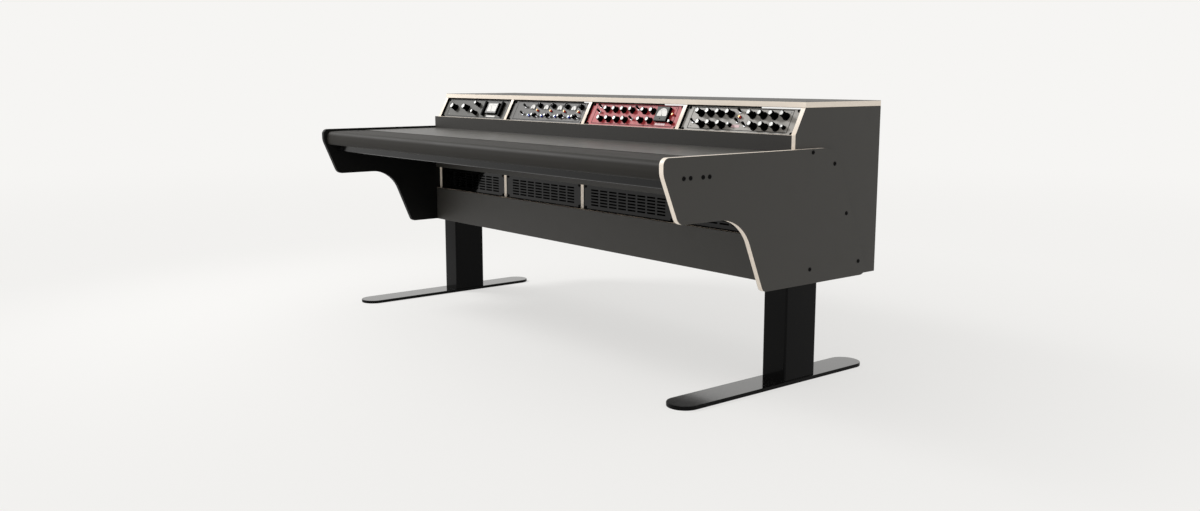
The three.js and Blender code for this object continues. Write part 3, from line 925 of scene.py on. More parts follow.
@dataclass
class Armrest:
    """The upholstered bolster: foam over a board, with a rounded nose, pulled tight."""

    pad: float = 0.018
    lip: float = 0.0438
    top_round: float = 0.020
    under_round: float = 0.013
    rear_round: float = 0.004
    lip_round: float = 0.005
    end_round: float = 0.003
    top_steps: int = 10
    under_steps: int = 8
    small_steps: int = 4
    end_steps: int = 3
    crown: float = 0.0014
    crown_steps: int = 10
    swell: float = 0.0012
    swell_shares: tuple[float, ...] = (0.25, 0.5, 0.75)
    rings: int = 140
    ripple: float = 0.0005
    ripple_length: float = 0.11
    ripple_across: float = 6.0
    ripple_middle: float = 0.6
    seated: float = 0.001
    end_reach: float = 0.0001
    end_share: float = 0.9
    smooth: float = radians(60)

    def section(self, low: Vector, high: Vector) -> list[Point]:
        """The pad's section in depth and height, from its rear bottom edge forwards.

        Args:
            low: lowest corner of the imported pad.
            high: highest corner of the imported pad.

        Returns:
            The outline's points.
        """
        front, rear, under, top = low.y + self.swell, high.y, low.z, high.z - self.crown
        inner, seat, small = front + self.lip - self.swell, high.z - self.pad, self.rear_round
        points = [(rear, seat), (rear, top - small)]
        points += arc(small, 0, 90, self.small_steps, (rear - small, top - small))
        run = rear - front - self.top_round
        for step in range(1, self.crown_steps):
            share = step / self.crown_steps
            points.append((rear - small - (run - small) * share, top + self.crown * sin(pi * share)))
        nose = (front + self.top_round, top - self.top_round)
        points += arc(self.top_round, 90, 180, self.top_steps, nose)
        straight = top - self.top_round - under - self.under_round
        for share in self.swell_shares:
            points.append((front - self.swell * sin(pi * share), top - self.top_round - straight * share))
        chin = (front + self.under_round, under + self.under_round)
        points += arc(self.under_round, 180, 270, self.under_steps, chin)
        edge = (inner - self.lip_round, under + self.lip_round)
        points += arc(self.lip_round, 270, 360, self.small_steps, edge)
        points.append((inner, seat))
        return points

    def build(self) -> None:
        """Draws the section out along the desk and pulls its skin."""
        low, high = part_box("armrest_pad")
        bm = prism(self.section(low, high), high.x - low.x)
        # Depth, height and length of the prism turn to the frame's Y, Z and X
        turn = Matrix(((0, 0, 1), (1, 0, 0), (0, 1, 0))).to_4x4()
        bmesh.ops.transform(bm, matrix=Matrix.Translation((low.x, 0, 0)) @ turn, verts=bm.verts)
        half = (high.x - low.x) / 2
        along = [e for e in bm.edges if abs(e.verts[0].co.x - e.verts[1].co.x) > half]
        bmesh.ops.subdivide_edges(bm, edges=along, cuts=self.rings, use_grid_fill=True)
        ends = [e for e in bm.edges if e.is_manifold and self.at_end(e, low.x, high.x)]
        rounded(bm, ends, self.end_round, self.end_steps)
        self.pull(bm, (low + high) / 2, high)
        bmesh.ops.recalc_face_normals(bm, faces=bm.faces)
        piece = Piece("armrest_bolster", PADDING, smooth=self.smooth)
        piece.take(bm)
        made = piece.done(Slot.PADDING, "armrest_pad")

    def at_end(self, edge: Edge, left: float, right: float) -> bool:
        """Says whether an edge lies around one of the two ends.

        Args:
            edge: the edge.
            left: place of the left end.
            right: place of the right end.

        Returns:
            True if it does.
        """
        spots = [vert.co.x for vert in edge.verts]
        flat = max(abs(face.normal.x) for face in edge.link_faces) > self.end_share
        return flat and (max(spots) < left + self.end_reach or min(spots) > right - self.end_reach)

    def pull(self, bm: Shape, middle: Vector, high: Vector) -> None:
        """Moves the skin a little, as foam under a stretched cover does, but not where it is seated.

        Args:
            bm: the bolster.
            middle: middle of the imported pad.
            high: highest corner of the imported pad.
        """
        for vert in bm.verts:
            if vert.co.z < high.z - self.pad + self.seated and vert.co.y > middle.y - self.lip:
                continue
            across = (vert.co.y * self.ripple_across, vert.co.z * self.ripple_across)
            wave = noise.noise(Vector((vert.co.x / self.ripple_length, *across)))
            away = Vector((0, vert.co.y - middle.y, vert.co.z - middle.z)).normalized()
            vert.co += away * (self.ripple * (wave - self.ripple_middle))


# Fasteners


@dataclass(frozen=True)
class ButtonScrew:
    """A low domed screw with a round recess for its driver."""

    radius: float
    height: float
    rim_share: float = 0.25
    recess_share: float = 0.42
    depth_share: float = 0.6
    dome_turns: tuple[int, ...] = (0, 15, 30, 45, 60)
    steps: int = 20

    def shape(self) -> Shape:
        """Turns the screw's head.

        Returns:
            The head, standing on its seat.
        """
        rim = self.height * self.rim_share
        recess = self.radius * self.recess_share
        floor = self.height * (1 - self.depth_share)
        dome = [
            (self.radius * cos(radians(angle)), rim + (self.height - rim) * sin(radians(angle)))
            for angle in self.dome_turns
        ]
        profile = [(0, 0), (self.radius, 0), *dome, (recess, self.height), (recess, floor), (0, floor)]
        return turned(profile, self.steps)


@dataclass
class Fasteners:
    """Screws of the cheeks, the rack panels and the back panels.

    A cheek has two pairs of screws into the beams and five into the console's side.
    """

    cheek_screw: ButtonScrew = ButtonScrew(0.0064, 0.0028)
    rack_screw: ButtonScrew = ButtonScrew(0.0052, 0.0036)
    back_screw: ButtonScrew = ButtonScrew(0.0040, 0.0018)
    beam_offset: float = 0.0125
    side_places: tuple[Point, ...] = (
        (0.1295, 0.7145), (0.2311, 0.6764), (0.2955, 0.5200), (0.3625, 0.3630), (0.1305, 0.3620),
    )
    back_across: tuple[float, ...] = (-0.47, -0.16, 0.16, 0.47)
    back_up: tuple[float, ...] = (-0.46, 0.46)

    def set_row(self, name: str, screw: ButtonScrew, seats: list[Matrix]) -> None:
        """Makes one piece of several like screws.

        Args:
            name: the piece's name.
            screw: the kind of screw.
            seats: where they go.
        """
        piece = Piece(name, SCREW_BLACK)
        for seat in seats:
            piece.add(screw.shape(), seat)
        piece.done(Slot.BLACK_STEEL)

    def cheek_places(self) -> list[Point]:
        """Works out where a cheek's screws are.

        Returns:
            Depth and height of each screw.
        """
        places = []
        for beam in ("beam_front", "beam_rear"):
            low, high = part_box(beam)
            middle, height = (low.y + high.y) / 2, (low.z + high.z) / 2
            places += [(middle - self.beam_offset, height), (middle + self.beam_offset, height)]
        return places + list(self.side_places)

    def cheeks(self) -> None:
        """Screws of both cheeks."""
        for side, sign in zip(SIDES, (-1, 1)):
            low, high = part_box(f"cheek_{side}")
            outer = max(abs(low.x), abs(high.x)) * sign
            right, out = REAR * sign, RIGHT * sign
            seats = [seat_on(Vector((outer, *place)), right, out) for place in self.cheek_places()]
            self.set_row(f"cheek_screws_{side}", self.cheek_screw, seats)

    def racks(self) -> None:
        """Four screws on every rack panel."""
        for bay in BAYS:
            for kind, face in (("unit", RACK.unit(bay)), ("vent", RACK.vent(bay))):
                seats = [face.seat(share) for share in RACK.corners()]
                self.set_row(f"{kind}_{bay}_screws", self.rack_screw, seats)

    def backs(self) -> None:
        """Screws along the edges of both back panels."""
        for side in SIDES:
            low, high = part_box(f"back_panel_{side}")
            middle = (low + high) / 2
            middle.y = high.y
            face = Face(middle, -RIGHT, REAR, high.x - low.x, high.z - low.z)
            seats = [face.seat((across, up)) for across in self.back_across for up in self.back_up]
            self.set_row(f"back_screws_{side}", self.back_screw, seats)

    def build(self) -> None:
        """Sets every screw."""
        self.cheeks()
        self.racks()
        self.backs()


# Fittings of the rack units


@dataclass(frozen=True)
class Row:
    """Like fittings in a row: the first one's shares of the face plate, the pitch and how many."""

    first: Point
    pitch: float = 0.0
    count: int = 1

    def shares(self) -> list[Point]:
        """Places of the fittings, from left to right."""
        return [(self.first[0] + self.pitch * number, self.first[1]) for number in range(self.count)]


def shares_of(rows: tuple[Row, ...]) -> list[Point]:
    """Places of all fittings of several rows."""
    return [share for row in rows for share in row.shares()]


@dataclass(frozen=True)
class KnobSize:
    """Sizes of one kind of knob."""

    radius: float
    depth: float
    cap_radius: float
    skirt: float = 0.0012
    flutes: int = 20
    skirt_share: float = 0.18


class Knob(Enum):
    """The kinds of knob on the four units."""

    BROAD = KnobSize(0.0124, 0.0264, 0.0098, 0.0018, 24)
    STAGGERED = KnobSize(0.0084, 0.0264, 0.0062)
    TALL = KnobSize(0.0099, 0.0280, 0.0073, 0.0026)
    MEDIUM = KnobSize(0.0098, 0.0180, 0.0068, 0.0026)
    SQUAT = KnobSize(0.0095, 0.0140, 0.0082, 0.0012)
    SMALL = KnobSize(0.0062, 0.0150, 0.0050, 0.0008, 14)


@dataclass(frozen=True)
class KnobMaker:
    """Fluted moulded knobs with an index line and a turned cap."""

    bevel: float = 0.0006
    flute_share: float = 0.94
    taper: float = 0.94
    taper_from: float = 0.9
    steps: int = 28
    gap: float = 0.0004
    skirt_slope: float = 0.4
    skirt_top: float = 0.95
    cap_rise: float = 0.0006
    cap_sink: float = 0.001
    cap_edge: float = 0.0003
    cap_bevel: float = 0.0004
    rim_inner: float = 0.0012
    dish_outer: float = 0.0018
    index_width: float = 0.0011
    index_thick: float = 0.0007
    index_sink: float = 0.0002
    index_start: float = 0.4
    index_end: float = 0.93

    def fluted(self, size: KnobSize) -> Shape:
        """Makes the fluted grip, a little narrower at its front.

        Args:
            size: the knob's sizes.

        Returns:
            The grip.
        """
        outline = []
        for step in range(2 * size.flutes):
            reach = size.radius * (1.0 if step % 2 else self.flute_share)
            angle = pi * step / size.flutes
            outline.append((reach * cos(angle), reach * sin(angle)))
        grip = prism(outline, size.depth, self.bevel)
        front = [v for v in grip.verts if v.co.z > size.depth * self.taper_from]
        bmesh.ops.scale(grip, vec=(self.taper, self.taper, 1.0), verts=front)
        return grip

    def skirt(self, size: KnobSize) -> Shape:
        """Makes the skirt that lies close to the face plate.

        Args:
            size: the knob's sizes.

        Returns:
            The skirt.
        """
        reach, inner = size.radius + size.skirt, size.radius * self.skirt_top
        top = size.depth * size.skirt_share
        edge = top - size.skirt * self.skirt_slope
        profile = [(0, self.gap), (reach, self.gap), (reach, edge), (inner, top), (0, top)]
        return turned(profile, self.steps)

    def cap(self, size: KnobSize) -> Shape:
        """Makes the turned cap, with a shallow dish.

        Args:
            size: the knob's sizes.

        Returns:
            The cap.
        """
        base, top, reach = size.depth - self.cap_sink, size.depth + self.cap_rise, size.cap_radius
        edge = top - self.cap_edge
        return turned([
            (0, base), (reach, base), (reach, edge), (reach - self.cap_bevel, top),
            (reach - self.rim_inner, top), (reach - self.dish_outer, edge), (0, edge),
        ], self.steps)

    def index(self, size: KnobSize) -> Shape:
        """Makes the painted index line on the grip's front rim.

        Args:
            size: the knob's sizes.

        Returns:
            The line.
        """
        length = size.radius - size.cap_radius * self.index_start
        line = slab((self.index_width, length, self.index_thick))
        return moved(line, (0, size.radius * self.index_end - length / 2, size.depth - self.index_sink))

    def set_knob(self, piece: Piece, seat: Matrix, size: KnobSize, cap: Finish = CAP_METAL) -> None:
        """Adds one knob to a piece.

        Args:
            piece: the piece that gets the knob.
            seat: where the knob's base and axis go.
            size: the knob's sizes.
            cap: what its cap wears.
        """
        piece.add(self.skirt(size), seat, KNOB_BLACK)
        piece.add(self.fluted(size), seat, KNOB_BLACK)
        piece.add(self.cap(size), seat, cap)
        piece.add(self.index(size), seat, WHITE_PAINT)


@dataclass(frozen=True)
class KnobGroup:
    """Knobs of one kind. Their index lines take the turns, in degrees, one after the other."""

    kind: Knob
    rows: tuple[Row, ...]
    turns: tuple[float, ...] = (0.0, 38.0, -52.0, 15.0, -20.0, 70.0, -95.0)

    def places(self) -> list[tuple[Point, float]]:
        """Place of each knob and turn of its index line."""
        return [(share, self.turns[i % len(self.turns)]) for i, share in enumerate(shares_of(self.rows))]


@dataclass(frozen=True)
class LampGroup:
    """Lit buttons of one kind: what their sides wear, the painted highlight that their caps wear, and their
    rows.
    """

    side: Finish
    cap: Finish
    rows: tuple[Row, ...]


@dataclass(frozen=True)
class LampMaker:
    """A lit button: a collar, a round stem and a domed cap."""

    radius: float = 0.0042
    depth: float = 0.0095
    collar_rim: float = 0.0012
    collar_edge: float = 0.001
    collar_height: float = 0.0016
    stem_start: float = 0.001
    stem_end: float = 0.001
    cap_height: float = 0.0012
    cap_crown: float = 0.0002
    crown_share: float = 0.8
    steps: int = 16

    def set_lamp(self, piece: Piece, seat: Matrix, group: LampGroup) -> None:
        """Adds one lit button to a piece.

        Args:
            piece: the piece that gets the button.
            seat: where its base and axis go.
            group: what it wears.
        """
        reach, top, rim = self.radius, self.depth, self.radius + self.collar_rim
        height, stem, base = self.collar_height, top - self.stem_end, top - self.cap_height
        collar = [(0, 0), (rim, 0), (rim, self.collar_edge), (reach, height), (0, height)]
        side = [(0, self.stem_start), (reach, self.stem_start), (reach, stem), (0, stem)]
        cap = [(0, base), (reach, base), (reach * self.crown_share, top - self.cap_crown), (0, top)]
        # A lamp's cap wears a pale painted highlight over its coloured dome
        for profile, finish in ((collar, BLACK_PLASTIC), (side, group.side), (cap, group.cap)):
            piece.add(turned(profile, self.steps), seat, finish)


@dataclass(frozen=True)
class ToggleMaker:
    """A small bat lever in a round nut, thrown up a little. The profiles give radius and height."""

    nut: tuple[Point, ...] = ((0, 0), (0.0056, 0), (0.0056, 0.0018), (0.0047, 0.0026), (0, 0.0026))
    bat: tuple[Point, ...] = (
        (0, 0), (0.0032, 0), (0.0035, 0.008), (0.0046, 0.0155), (0.0042, 0.0175), (0, 0.0184),
    )
    nut_steps: int = 18
    bat_steps: int = 14
    throw: float = radians(-12)

    def set_toggle(self, piece: Piece, seat: Matrix) -> None:
        """Adds one toggle to a piece.

        Args:
            piece: the piece that gets the toggle.
            seat: where its nut's base and axis go.
        """
        piece.add(turned(self.nut, self.nut_steps), seat, NUT_METAL)
        lever = seat @ Matrix.Rotation(self.throw, 4, "X")
        piece.add(turned(self.bat, self.bat_steps), lever, KNOB_BLACK)


@dataclass(frozen=True)
class PlateMaker:
    """A thin bare plate with soft corners."""

    thick: float = 0.0006
    corner: float = 0.001
    rim: float = 0.0002

    def shape(self, width: float, height: float) -> Shape:
        """The plate, standing on its seat."""
        return slab((width, height, self.thick), self.corner, self.rim)


@dataclass(frozen=True)
class MeterBox:
    """The box of a large meter, with a thin plate on its front that leaves a margin around it. The box is
    black, which paints shade on its sides.
    """

    size: Size
    corner: float
    rim: float
    margin: float
    plate_thick: float = 0.0004
    plate_corner: float = 0.001
    plate_rim: float = 0.0001
    plate_sink: float = 0.0002

    def set_box(self, piece: Piece, seat: Matrix, front: Finish) -> None:
        """Adds the black box and its front plate to a piece.

        Args:
            piece: the piece that gets the box.
            seat: the middle of the box, on the face plate.
            front: what the front plate wears.
        """
        across, up, depth = self.size
        # The black box paints shade on the meter's sides; the thin front plate gives the front its grey
        piece.add(slab(self.size, self.corner, self.rim), seat, KNOB_BLACK)
        thin = (across - self.margin, up - self.margin, self.plate_thick)
        plate = slab(thin, self.plate_corner, self.plate_rim)
        piece.add(plate, seat @ shift(0, 0, depth - self.plate_sink), front)


@dataclass(frozen=True)
class Meter:
    """A moving coil meter with a plain scale and a thin needle.

    Its card is a rectangle, or a rectangle with an arched top.
    """

    card: Point
    arched: bool
    proud: float
    ticks: int = 9
    card_thick: float = 0.0006
    card_corner: float = 0.001
    arch_share: float = 0.8
    arch_steps: int = 24
    sweep: float = 76.0
    swing: float = -22.0
    pivot_share: float = 0.42
    reach_across: float = 0.46
    reach_up: float = 0.78
    tick_width: float = 0.0005
    tick_share: float = 0.14
    tick_thick: float = 0.0001
    needle_width: float = 0.0004
    needle_share: float = 0.92
    needle_thick: float = 0.0003
    needle_rise: float = 0.0004
    hub: tuple[Point, ...] = ((0, 0), (0.0014, 0), (0.0014, 0.0008), (0, 0.0012))
    hub_steps: int = 14

    def card_shape(self) -> Shape:
        """Makes the card.

        Returns:
            The card, standing on its seat.
        """
        width, height = self.card
        if not self.arched:
            return slab((width, height, self.card_thick), self.card_corner)
        reach = width / 2
        rise = min(reach, height * self.arch_share)
        top = height - rise
        arch = arc(reach, 0, 180, self.arch_steps)
        crown = [(x, top - height / 2 + y * rise / reach) for x, y in arch]
        return prism([(-reach, -height / 2), (reach, -height / 2), *crown], self.card_thick)

    def set_meter(self, piece: Piece, seat: Matrix) -> None:
        """Adds the meter's card, scale and needle to a piece.

        Args:
            piece: the piece that gets them.
            seat: the middle of the card, on the face plate.
        """
        width, height = self.card
        lifted = seat @ shift(0, 0, self.proud)
        piece.add(self.card_shape(), lifted, METER_CARD)
        pivot = lifted @ shift(0, -height * self.pivot_share, self.card_thick)
        reach = min(width * self.reach_across, height * self.reach_up)
        for tick in range(self.ticks):
            mark = moved(slab((self.tick_width, reach * self.tick_share, self.tick_thick)), (0, reach, 0))
            turn = self.sweep * (tick / (self.ticks - 1) - 0.5)
            piece.add(mark, pivot @ twist(turn), METER_INK)
        length = reach * self.needle_share
        needle = slab((self.needle_width, length, self.needle_thick))
        needle = moved(needle, (0, length / 2, self.needle_rise))
        piece.add(needle, pivot @ twist(-self.swing), METER_INK)
        piece.add(turned(self.hub, self.hub_steps), pivot, METER_INK)


# Rack units


@dataclass
class Unit:
    """What all four units share: the groove, the knobs, the lamps, the toggles and the studs.

    The rows give the places of the fittings as shares of the face plate.
    """

    bay: int
    knobs: tuple[KnobGroup, ...] = ()
    lamps: tuple[LampGroup, ...] = ()
    toggles: tuple[Row, ...] = ()
    studs: tuple[Row, ...] = ()
    black_caps: bool = False
    second_cap: float = 0.0001
    groove_width: float = 0.0022
    groove_thick: float = 0.00015
    groove_shares: tuple[float, float, float, float] = (-0.443, -0.395, 0.443, 0.455)
    stud: ButtonScrew = ButtonScrew(0.0022, 0.0012, steps=14)
    knob_maker: KnobMaker = KnobMaker()
    lamp_maker: LampMaker = LampMaker()
    toggle_maker: ToggleMaker = ToggleMaker()
    plate_maker: PlateMaker = PlateMaker()

    @property
    def face(self) -> Face:
        """The unit's face plate."""
        return RACK.unit(self.bay)

    def groove(self) -> None:
        """The thin dark line around the middle of the face plate."""
        left, low, right, high = self.groove_shares
        across, up = (right - left) * self.face.width, (high - low) * self.face.height
        middle = ((left + right) / 2, (low + high) / 2)
        piece = Piece(f"unit_{self.bay}_groove", GROOVE_PAINT)
        for share, size in (
            ((middle[0], low), (across, self.groove_width)),
            ((middle[0], high), (across, self.groove_width)),
            ((left, middle[1]), (self.groove_width, up)),
            ((right, middle[1]), (self.groove_width, up)),
        ):
            piece.add(slab((*size, self.groove_thick)), self.face.seat(share))
        piece.done(Slot.BLACK_PLASTIC)

    def set_knobs(self) -> None:
        """The fixed knobs, as one piece. Where the caps are black, small knobs wear a metal one on top."""
        if not self.knobs:
            return
        piece = Piece(f"unit_{self.bay}_knobs", KNOB_BLACK, CAP_METAL, WHITE_PAINT)
        cap = KNOB_BLACK if self.black_caps else CAP_METAL
        for group in self.knobs:
            size = group.kind.value
            for share, turn in group.places():
                seat = self.face.seat(share) @ twist(turn)
                self.knob_maker.set_knob(piece, seat, size, cap)
                if self.black_caps and group.kind is Knob.SMALL:
                    piece.add(self.knob_maker.cap(size), seat @ shift(0, 0, self.second_cap), CAP_METAL)
        piece.done(Slot.KNOB_PLASTIC)

    def set_lamps(self) -> None:
        """The lit buttons in their collars, as one piece."""
        if not self.lamps:
            return
        lenses = [finish for group in self.lamps for finish in (group.side, group.cap)]
        piece = Piece(f"unit_{self.bay}_lamps", BLACK_PLASTIC, *lenses)
        for group in self.lamps:
            for share in shares_of(group.rows):
                self.lamp_maker.set_lamp(piece, self.face.seat(share), group)
        piece.done(Slot.KNOB_PLASTIC)

    def set_toggles(self) -> None:
        """The toggles, as one piece."""
        if not self.toggles:
            return
        piece = Piece(f"unit_{self.bay}_toggles", NUT_METAL, KNOB_BLACK)
        for share in shares_of(self.toggles):
            self.toggle_maker.set_toggle(piece, self.face.seat(share))
        piece.done(Slot.KNOB_PLASTIC)

    def set_studs(self) -> None:
        """Small bright screws in the face plate, as one piece."""
        if not self.studs:
            return
        piece = Piece(f"unit_{self.bay}_studs", TURNED_STEEL)
        for share in shares_of(self.studs):
            piece.add(self.stud.shape(), self.face.seat(share))
        piece.done(Slot.BARE_STEEL)

    def extras(self) -> None:
        """Whatever only this unit has."""

    def build(self) -> None:
        """Makes every fitting of the unit."""
        self.groove()
        self.set_knobs()
        self.set_lamps()
        self.set_toggles()
        self.set_studs()
        self.extras()


@dataclass
class GraphiteUnit(Unit):
    """Unit 1: two broad and two small knobs, a wide meter and two upright guard bars."""

    bay: int = 1
    studs: tuple[Row, ...] = (Row((0.264, 0.441)), Row((-0.415, -0.30)), Row((-0.415, 0.38)))
    turning: tuple[tuple[Body, Knob], ...] = (
        (Body.KNOB_LEVEL, Knob.BROAD), (Body.KNOB_SOURCE, Knob.BROAD),
        (Body.KNOB_TRIM, Knob.STAGGERED), (Body.KNOB_BALANCE, Knob.STAGGERED),
    )
    bar_shares: tuple[Point, Point] = ((0.147, 0.020), (0.400, 0.022))
    bar_size: Size = (0.0105, 0.064, 0.0130)
    bar_corner: float = 0.0040
    bar_rim: float = 0.0018
    box: MeterBox = MeterBox((0.078, 0.049, 0.010), corner=0.002, rim=0.001, margin=0.003)
    meter_share: Point = (0.266, 0.050)
    card_size: Point = (0.062, 0.035)
    card_offset: Point = (0.003, 0.001)
    plate_share: Point = (0.262, -0.335)
    plate_size: Point = (0.062, 0.0065)

    def turning_knobs(self) -> None:
        """The four knobs that turn, each on its own body, on the axis of its joint."""
        joints = {joint["child"]: joint for joint in frame["joints"]}
        for body, kind in self.turning:
            name = body.value.removeprefix("knob_")
            piece = Piece(f"unit_1_{name}_knob", KNOB_BLACK, CAP_METAL, WHITE_PAINT)
            seat = seat_on(Vector(joints[body.value]["pos_m"]), self.face.right, self.face.out)
            self.knob_maker.set_knob(piece, seat, kind.value)
            piece.done(Slot.KNOB_PLASTIC, f"unit_1_knob_{name}", body=body)

    def guard_bars(self) -> None:
        """The two upright bars beside the meter."""
        piece = Piece("unit_1_guard_bars", KNOB_BLACK)
        for share in self.bar_shares:
            piece.add(slab(self.bar_size, self.bar_corner, self.bar_rim), self.face.seat(share))
        piece.done(Slot.BLACK_STEEL)

    def extras(self) -> None:
        """The turning knobs, the guard bars, the meter and the bare plate below it."""
        self.turning_knobs()
        self.guard_bars()
        piece = Piece("unit_1_meter", KNOB_BLACK, METER_CARD, METER_INK, METER_BEZEL)
        piece.add(self.plate_maker.shape(*self.plate_size), self.face.seat(self.plate_share), METER_CARD)
        seat = self.face.seat(self.meter_share)
        self.box.set_box(piece, seat, METER_BEZEL)
        meter = Meter(self.card_size, False, self.box.size[2])
        meter.set_meter(piece, seat @ shift(*self.card_offset, 0))
        piece.done(Slot.KNOB_PLASTIC)


@dataclass
class SlateUnit(Unit):
    """Unit 2: four channels, each with an arched meter, a knob, two lit buttons and a small knob."""

    bay: int = 2
    knobs: tuple[KnobGroup, ...] = (
        KnobGroup(Knob.SQUAT, (Row((-0.115, 0.279), 0.179, 4),)),
        KnobGroup(Knob.SMALL, (Row((-0.160, -0.196), 0.176, 4),)),
    )
    lamps: tuple[LampGroup, ...] = (
        LampGroup(RED_LENS, RED_LAMP_PAINTED_HIGHLIGHT, (Row((-0.129, 0.044), 0.179, 4),)),
        LampGroup(BLUE_LENS, BLUE_LAMP_PAINTED_HIGHLIGHT, (Row((-0.228, -0.208), 0.179, 4),)),
    )
    toggles: tuple[Row, ...] = (Row((-0.310, 0.209)), Row((-0.318, -0.144)), Row((-0.119, -0.204), 0.177, 4))
    studs: tuple[Row, ...] = (Row((-0.383, -0.169)),)
    black_caps: bool = True
    meter_row: Row = Row((-0.212, 0.228), 0.180, 4)
    frame_size: Size = (0.030, 0.021, 0.0024)
    frame_corner: float = 0.003
    frame_rim: float = 0.0006
    card_size: Point = (0.026, 0.017)
    ticks: int = 7

    def extras(self) -> None:
        """The four arched meters."""
        piece = Piece("unit_2_meters", SLATE_FACE, METER_CARD, METER_INK)
        meter = Meter(self.card_size, True, self.frame_size[2], self.ticks)
        for share in self.meter_row.shares():
            seat = self.face.seat(share)
            piece.add(slab(self.frame_size, self.frame_corner, self.frame_rim), seat)
            meter.set_meter(piece, seat)
        piece.done(Slot.UNIT_SLATE)


@dataclass
class RedUnit(Unit):
    """Unit 3: two rows of knobs and a large arched meter in a grey surround."""

    bay: int = 3
    knobs: tuple[KnobGroup, ...] = (
        KnobGroup(Knob.MEDIUM, (Row((-0.304, 0.224), 0.094, 4), Row((0.113, 0.215), 0.091, 2))),
        KnobGroup(Knob.MEDIUM, (Row((-0.345, -0.205), 0.093, 4), Row((0.105, -0.191), 0.097, 2))),
        KnobGroup(Knob.SMALL, (Row((0.427, -0.223)),), (30.0,)),
    )
    lamps: tuple[LampGroup, ...] = (LampGroup(RED_LENS, RED_LAMP_PAINTED_HIGHLIGHT, (Row((0.422, 0.099)),)),)
    toggles: tuple[Row, ...] = (
        Row((-0.390, 0.335)), Row((-0.385, 0.094)), Row((0.039, 0.288)), Row((0.003, -0.153)),
    )
    studs: tuple[Row, ...] = (Row((0.424, 0.389)),)
    box: MeterBox = MeterBox((0.062, 0.053, 0.012), corner=0.0015, rim=0.0008, margin=0.002)
    meter_share: Point = (0.3234, 0.074)
    card_size: Point = (0.047, 0.029)
    card_offset: Point = (0.003, 0.0060)
    ticks: int = 11
    lower_size: Point = (0.054, 0.012)
    lower_drop: float = 0.0175
    screw: ButtonScrew = ButtonScrew(0.0022, 0.0010, steps=14)
    screw_rise: float = 0.0005
    plate_share: Point = (0.317, -0.308)
    plate_size: Point = (0.050, 0.0085)

    def extras(self) -> None:
        """The large meter with its lower panel, and the bare plate below it."""
        seat, depth = self.face.seat(self.meter_share), self.box.size[2]
        piece = Piece("unit_3_meter", METER_FRAME, METER_CARD, METER_INK, KNOB_BLACK)
        self.box.set_box(piece, seat, METER_FRAME)
        meter = Meter(self.card_size, True, depth, self.ticks)
        meter.set_meter(piece, seat @ shift(*self.card_offset, 0))
        piece.add(self.plate_maker.shape(*self.lower_size), seat @ shift(0, -self.lower_drop, depth))
        front = seat @ shift(0, -self.lower_drop, depth + self.screw_rise)
        piece.add(self.screw.shape(), front, KNOB_BLACK)
        piece.done(Slot.KNOB_PLASTIC)
        plate = Piece("unit_3_plate", LABEL_PALE)
        plate.add(self.plate_maker.shape(*self.plate_size), self.face.seat(self.plate_share))
        plate.done(Slot.KNOB_PLASTIC)


@dataclass
class PaleUnit(Unit):
    """Unit 4: sixteen knobs in two rows and a small bare plate between them."""

    bay: int = 4
    knobs: tuple[KnobGroup, ...] = (
        KnobGroup(Knob.TALL, (Row((-0.350, 0.201), 0.093, 4), Row((0.1185, 0.198), 0.093, 4))),
        KnobGroup(Knob.TALL, (Row((-0.309, -0.245), 0.094, 3), Row((0.160, -0.235), 0.094, 3))),
        KnobGroup(Knob.SMALL, (Row((-0.052, -0.216)), Row((0.411, -0.218)))),
    )
    lamps: tuple[LampGroup, ...] = (LampGroup(RED_LENS, RED_LAMP_PAINTED_HIGHLIGHT, (Row((0.012, 0.112)),)),)
    toggles: tuple[Row, ...] = (
        Row((0.0, 0.322)), Row((0.005, -0.070)), Row((-0.401, -0.149)), Row((0.078, -0.201)),
    )
    studs: tuple[Row, ...] = (Row((0.423, 0.362)), Row((0.429, -0.336)), Row((-0.415, -0.30)))
    plate_share: Point = (-0.005, -0.236)
    plate_size: Point = (0.034, 0.0095)

    def extras(self) -> None:
        """The small plate, left bare."""
        piece = Piece("unit_4_plate", LABEL_PALE)
        piece.add(self.plate_maker.shape(*self.plate_size), self.face.seat(self.plate_share))
        piece.done(Slot.KNOB_PLASTIC)


# Hand control


@dataclass
class HandControl:
    """Raised arrows on the two buttons of the hand control."""

    reach: float = 0.0026
    base_share: float = 0.7
    tip_share: float = 0.9
    thick: float = 0.0003

    def build(self) -> None:
        """One arrow on each button."""
        base, tip = -self.reach * self.base_share, self.reach * self.tip_share
        for body, name, turn in ((Body.BUTTON_UP, "up", 0.0), (Body.BUTTON_DOWN, "down", 180.0)):
            low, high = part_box(f"hand_button_{name}")
            middle = Vector(((low.x + high.x) / 2, low.y, (low.z + high.z) / 2))
            shape = prism([(-self.reach, base), (self.reach, base), (0, tip)], self.thick)
            piece = Piece(f"hand_arrow_{name}", WHITE_PAINT)
            piece.add(shape, seat_on(middle, RIGHT, FRONT) @ twist(turn))
            piece.done(Slot.GREY_PLASTIC, body=body)


# Studio


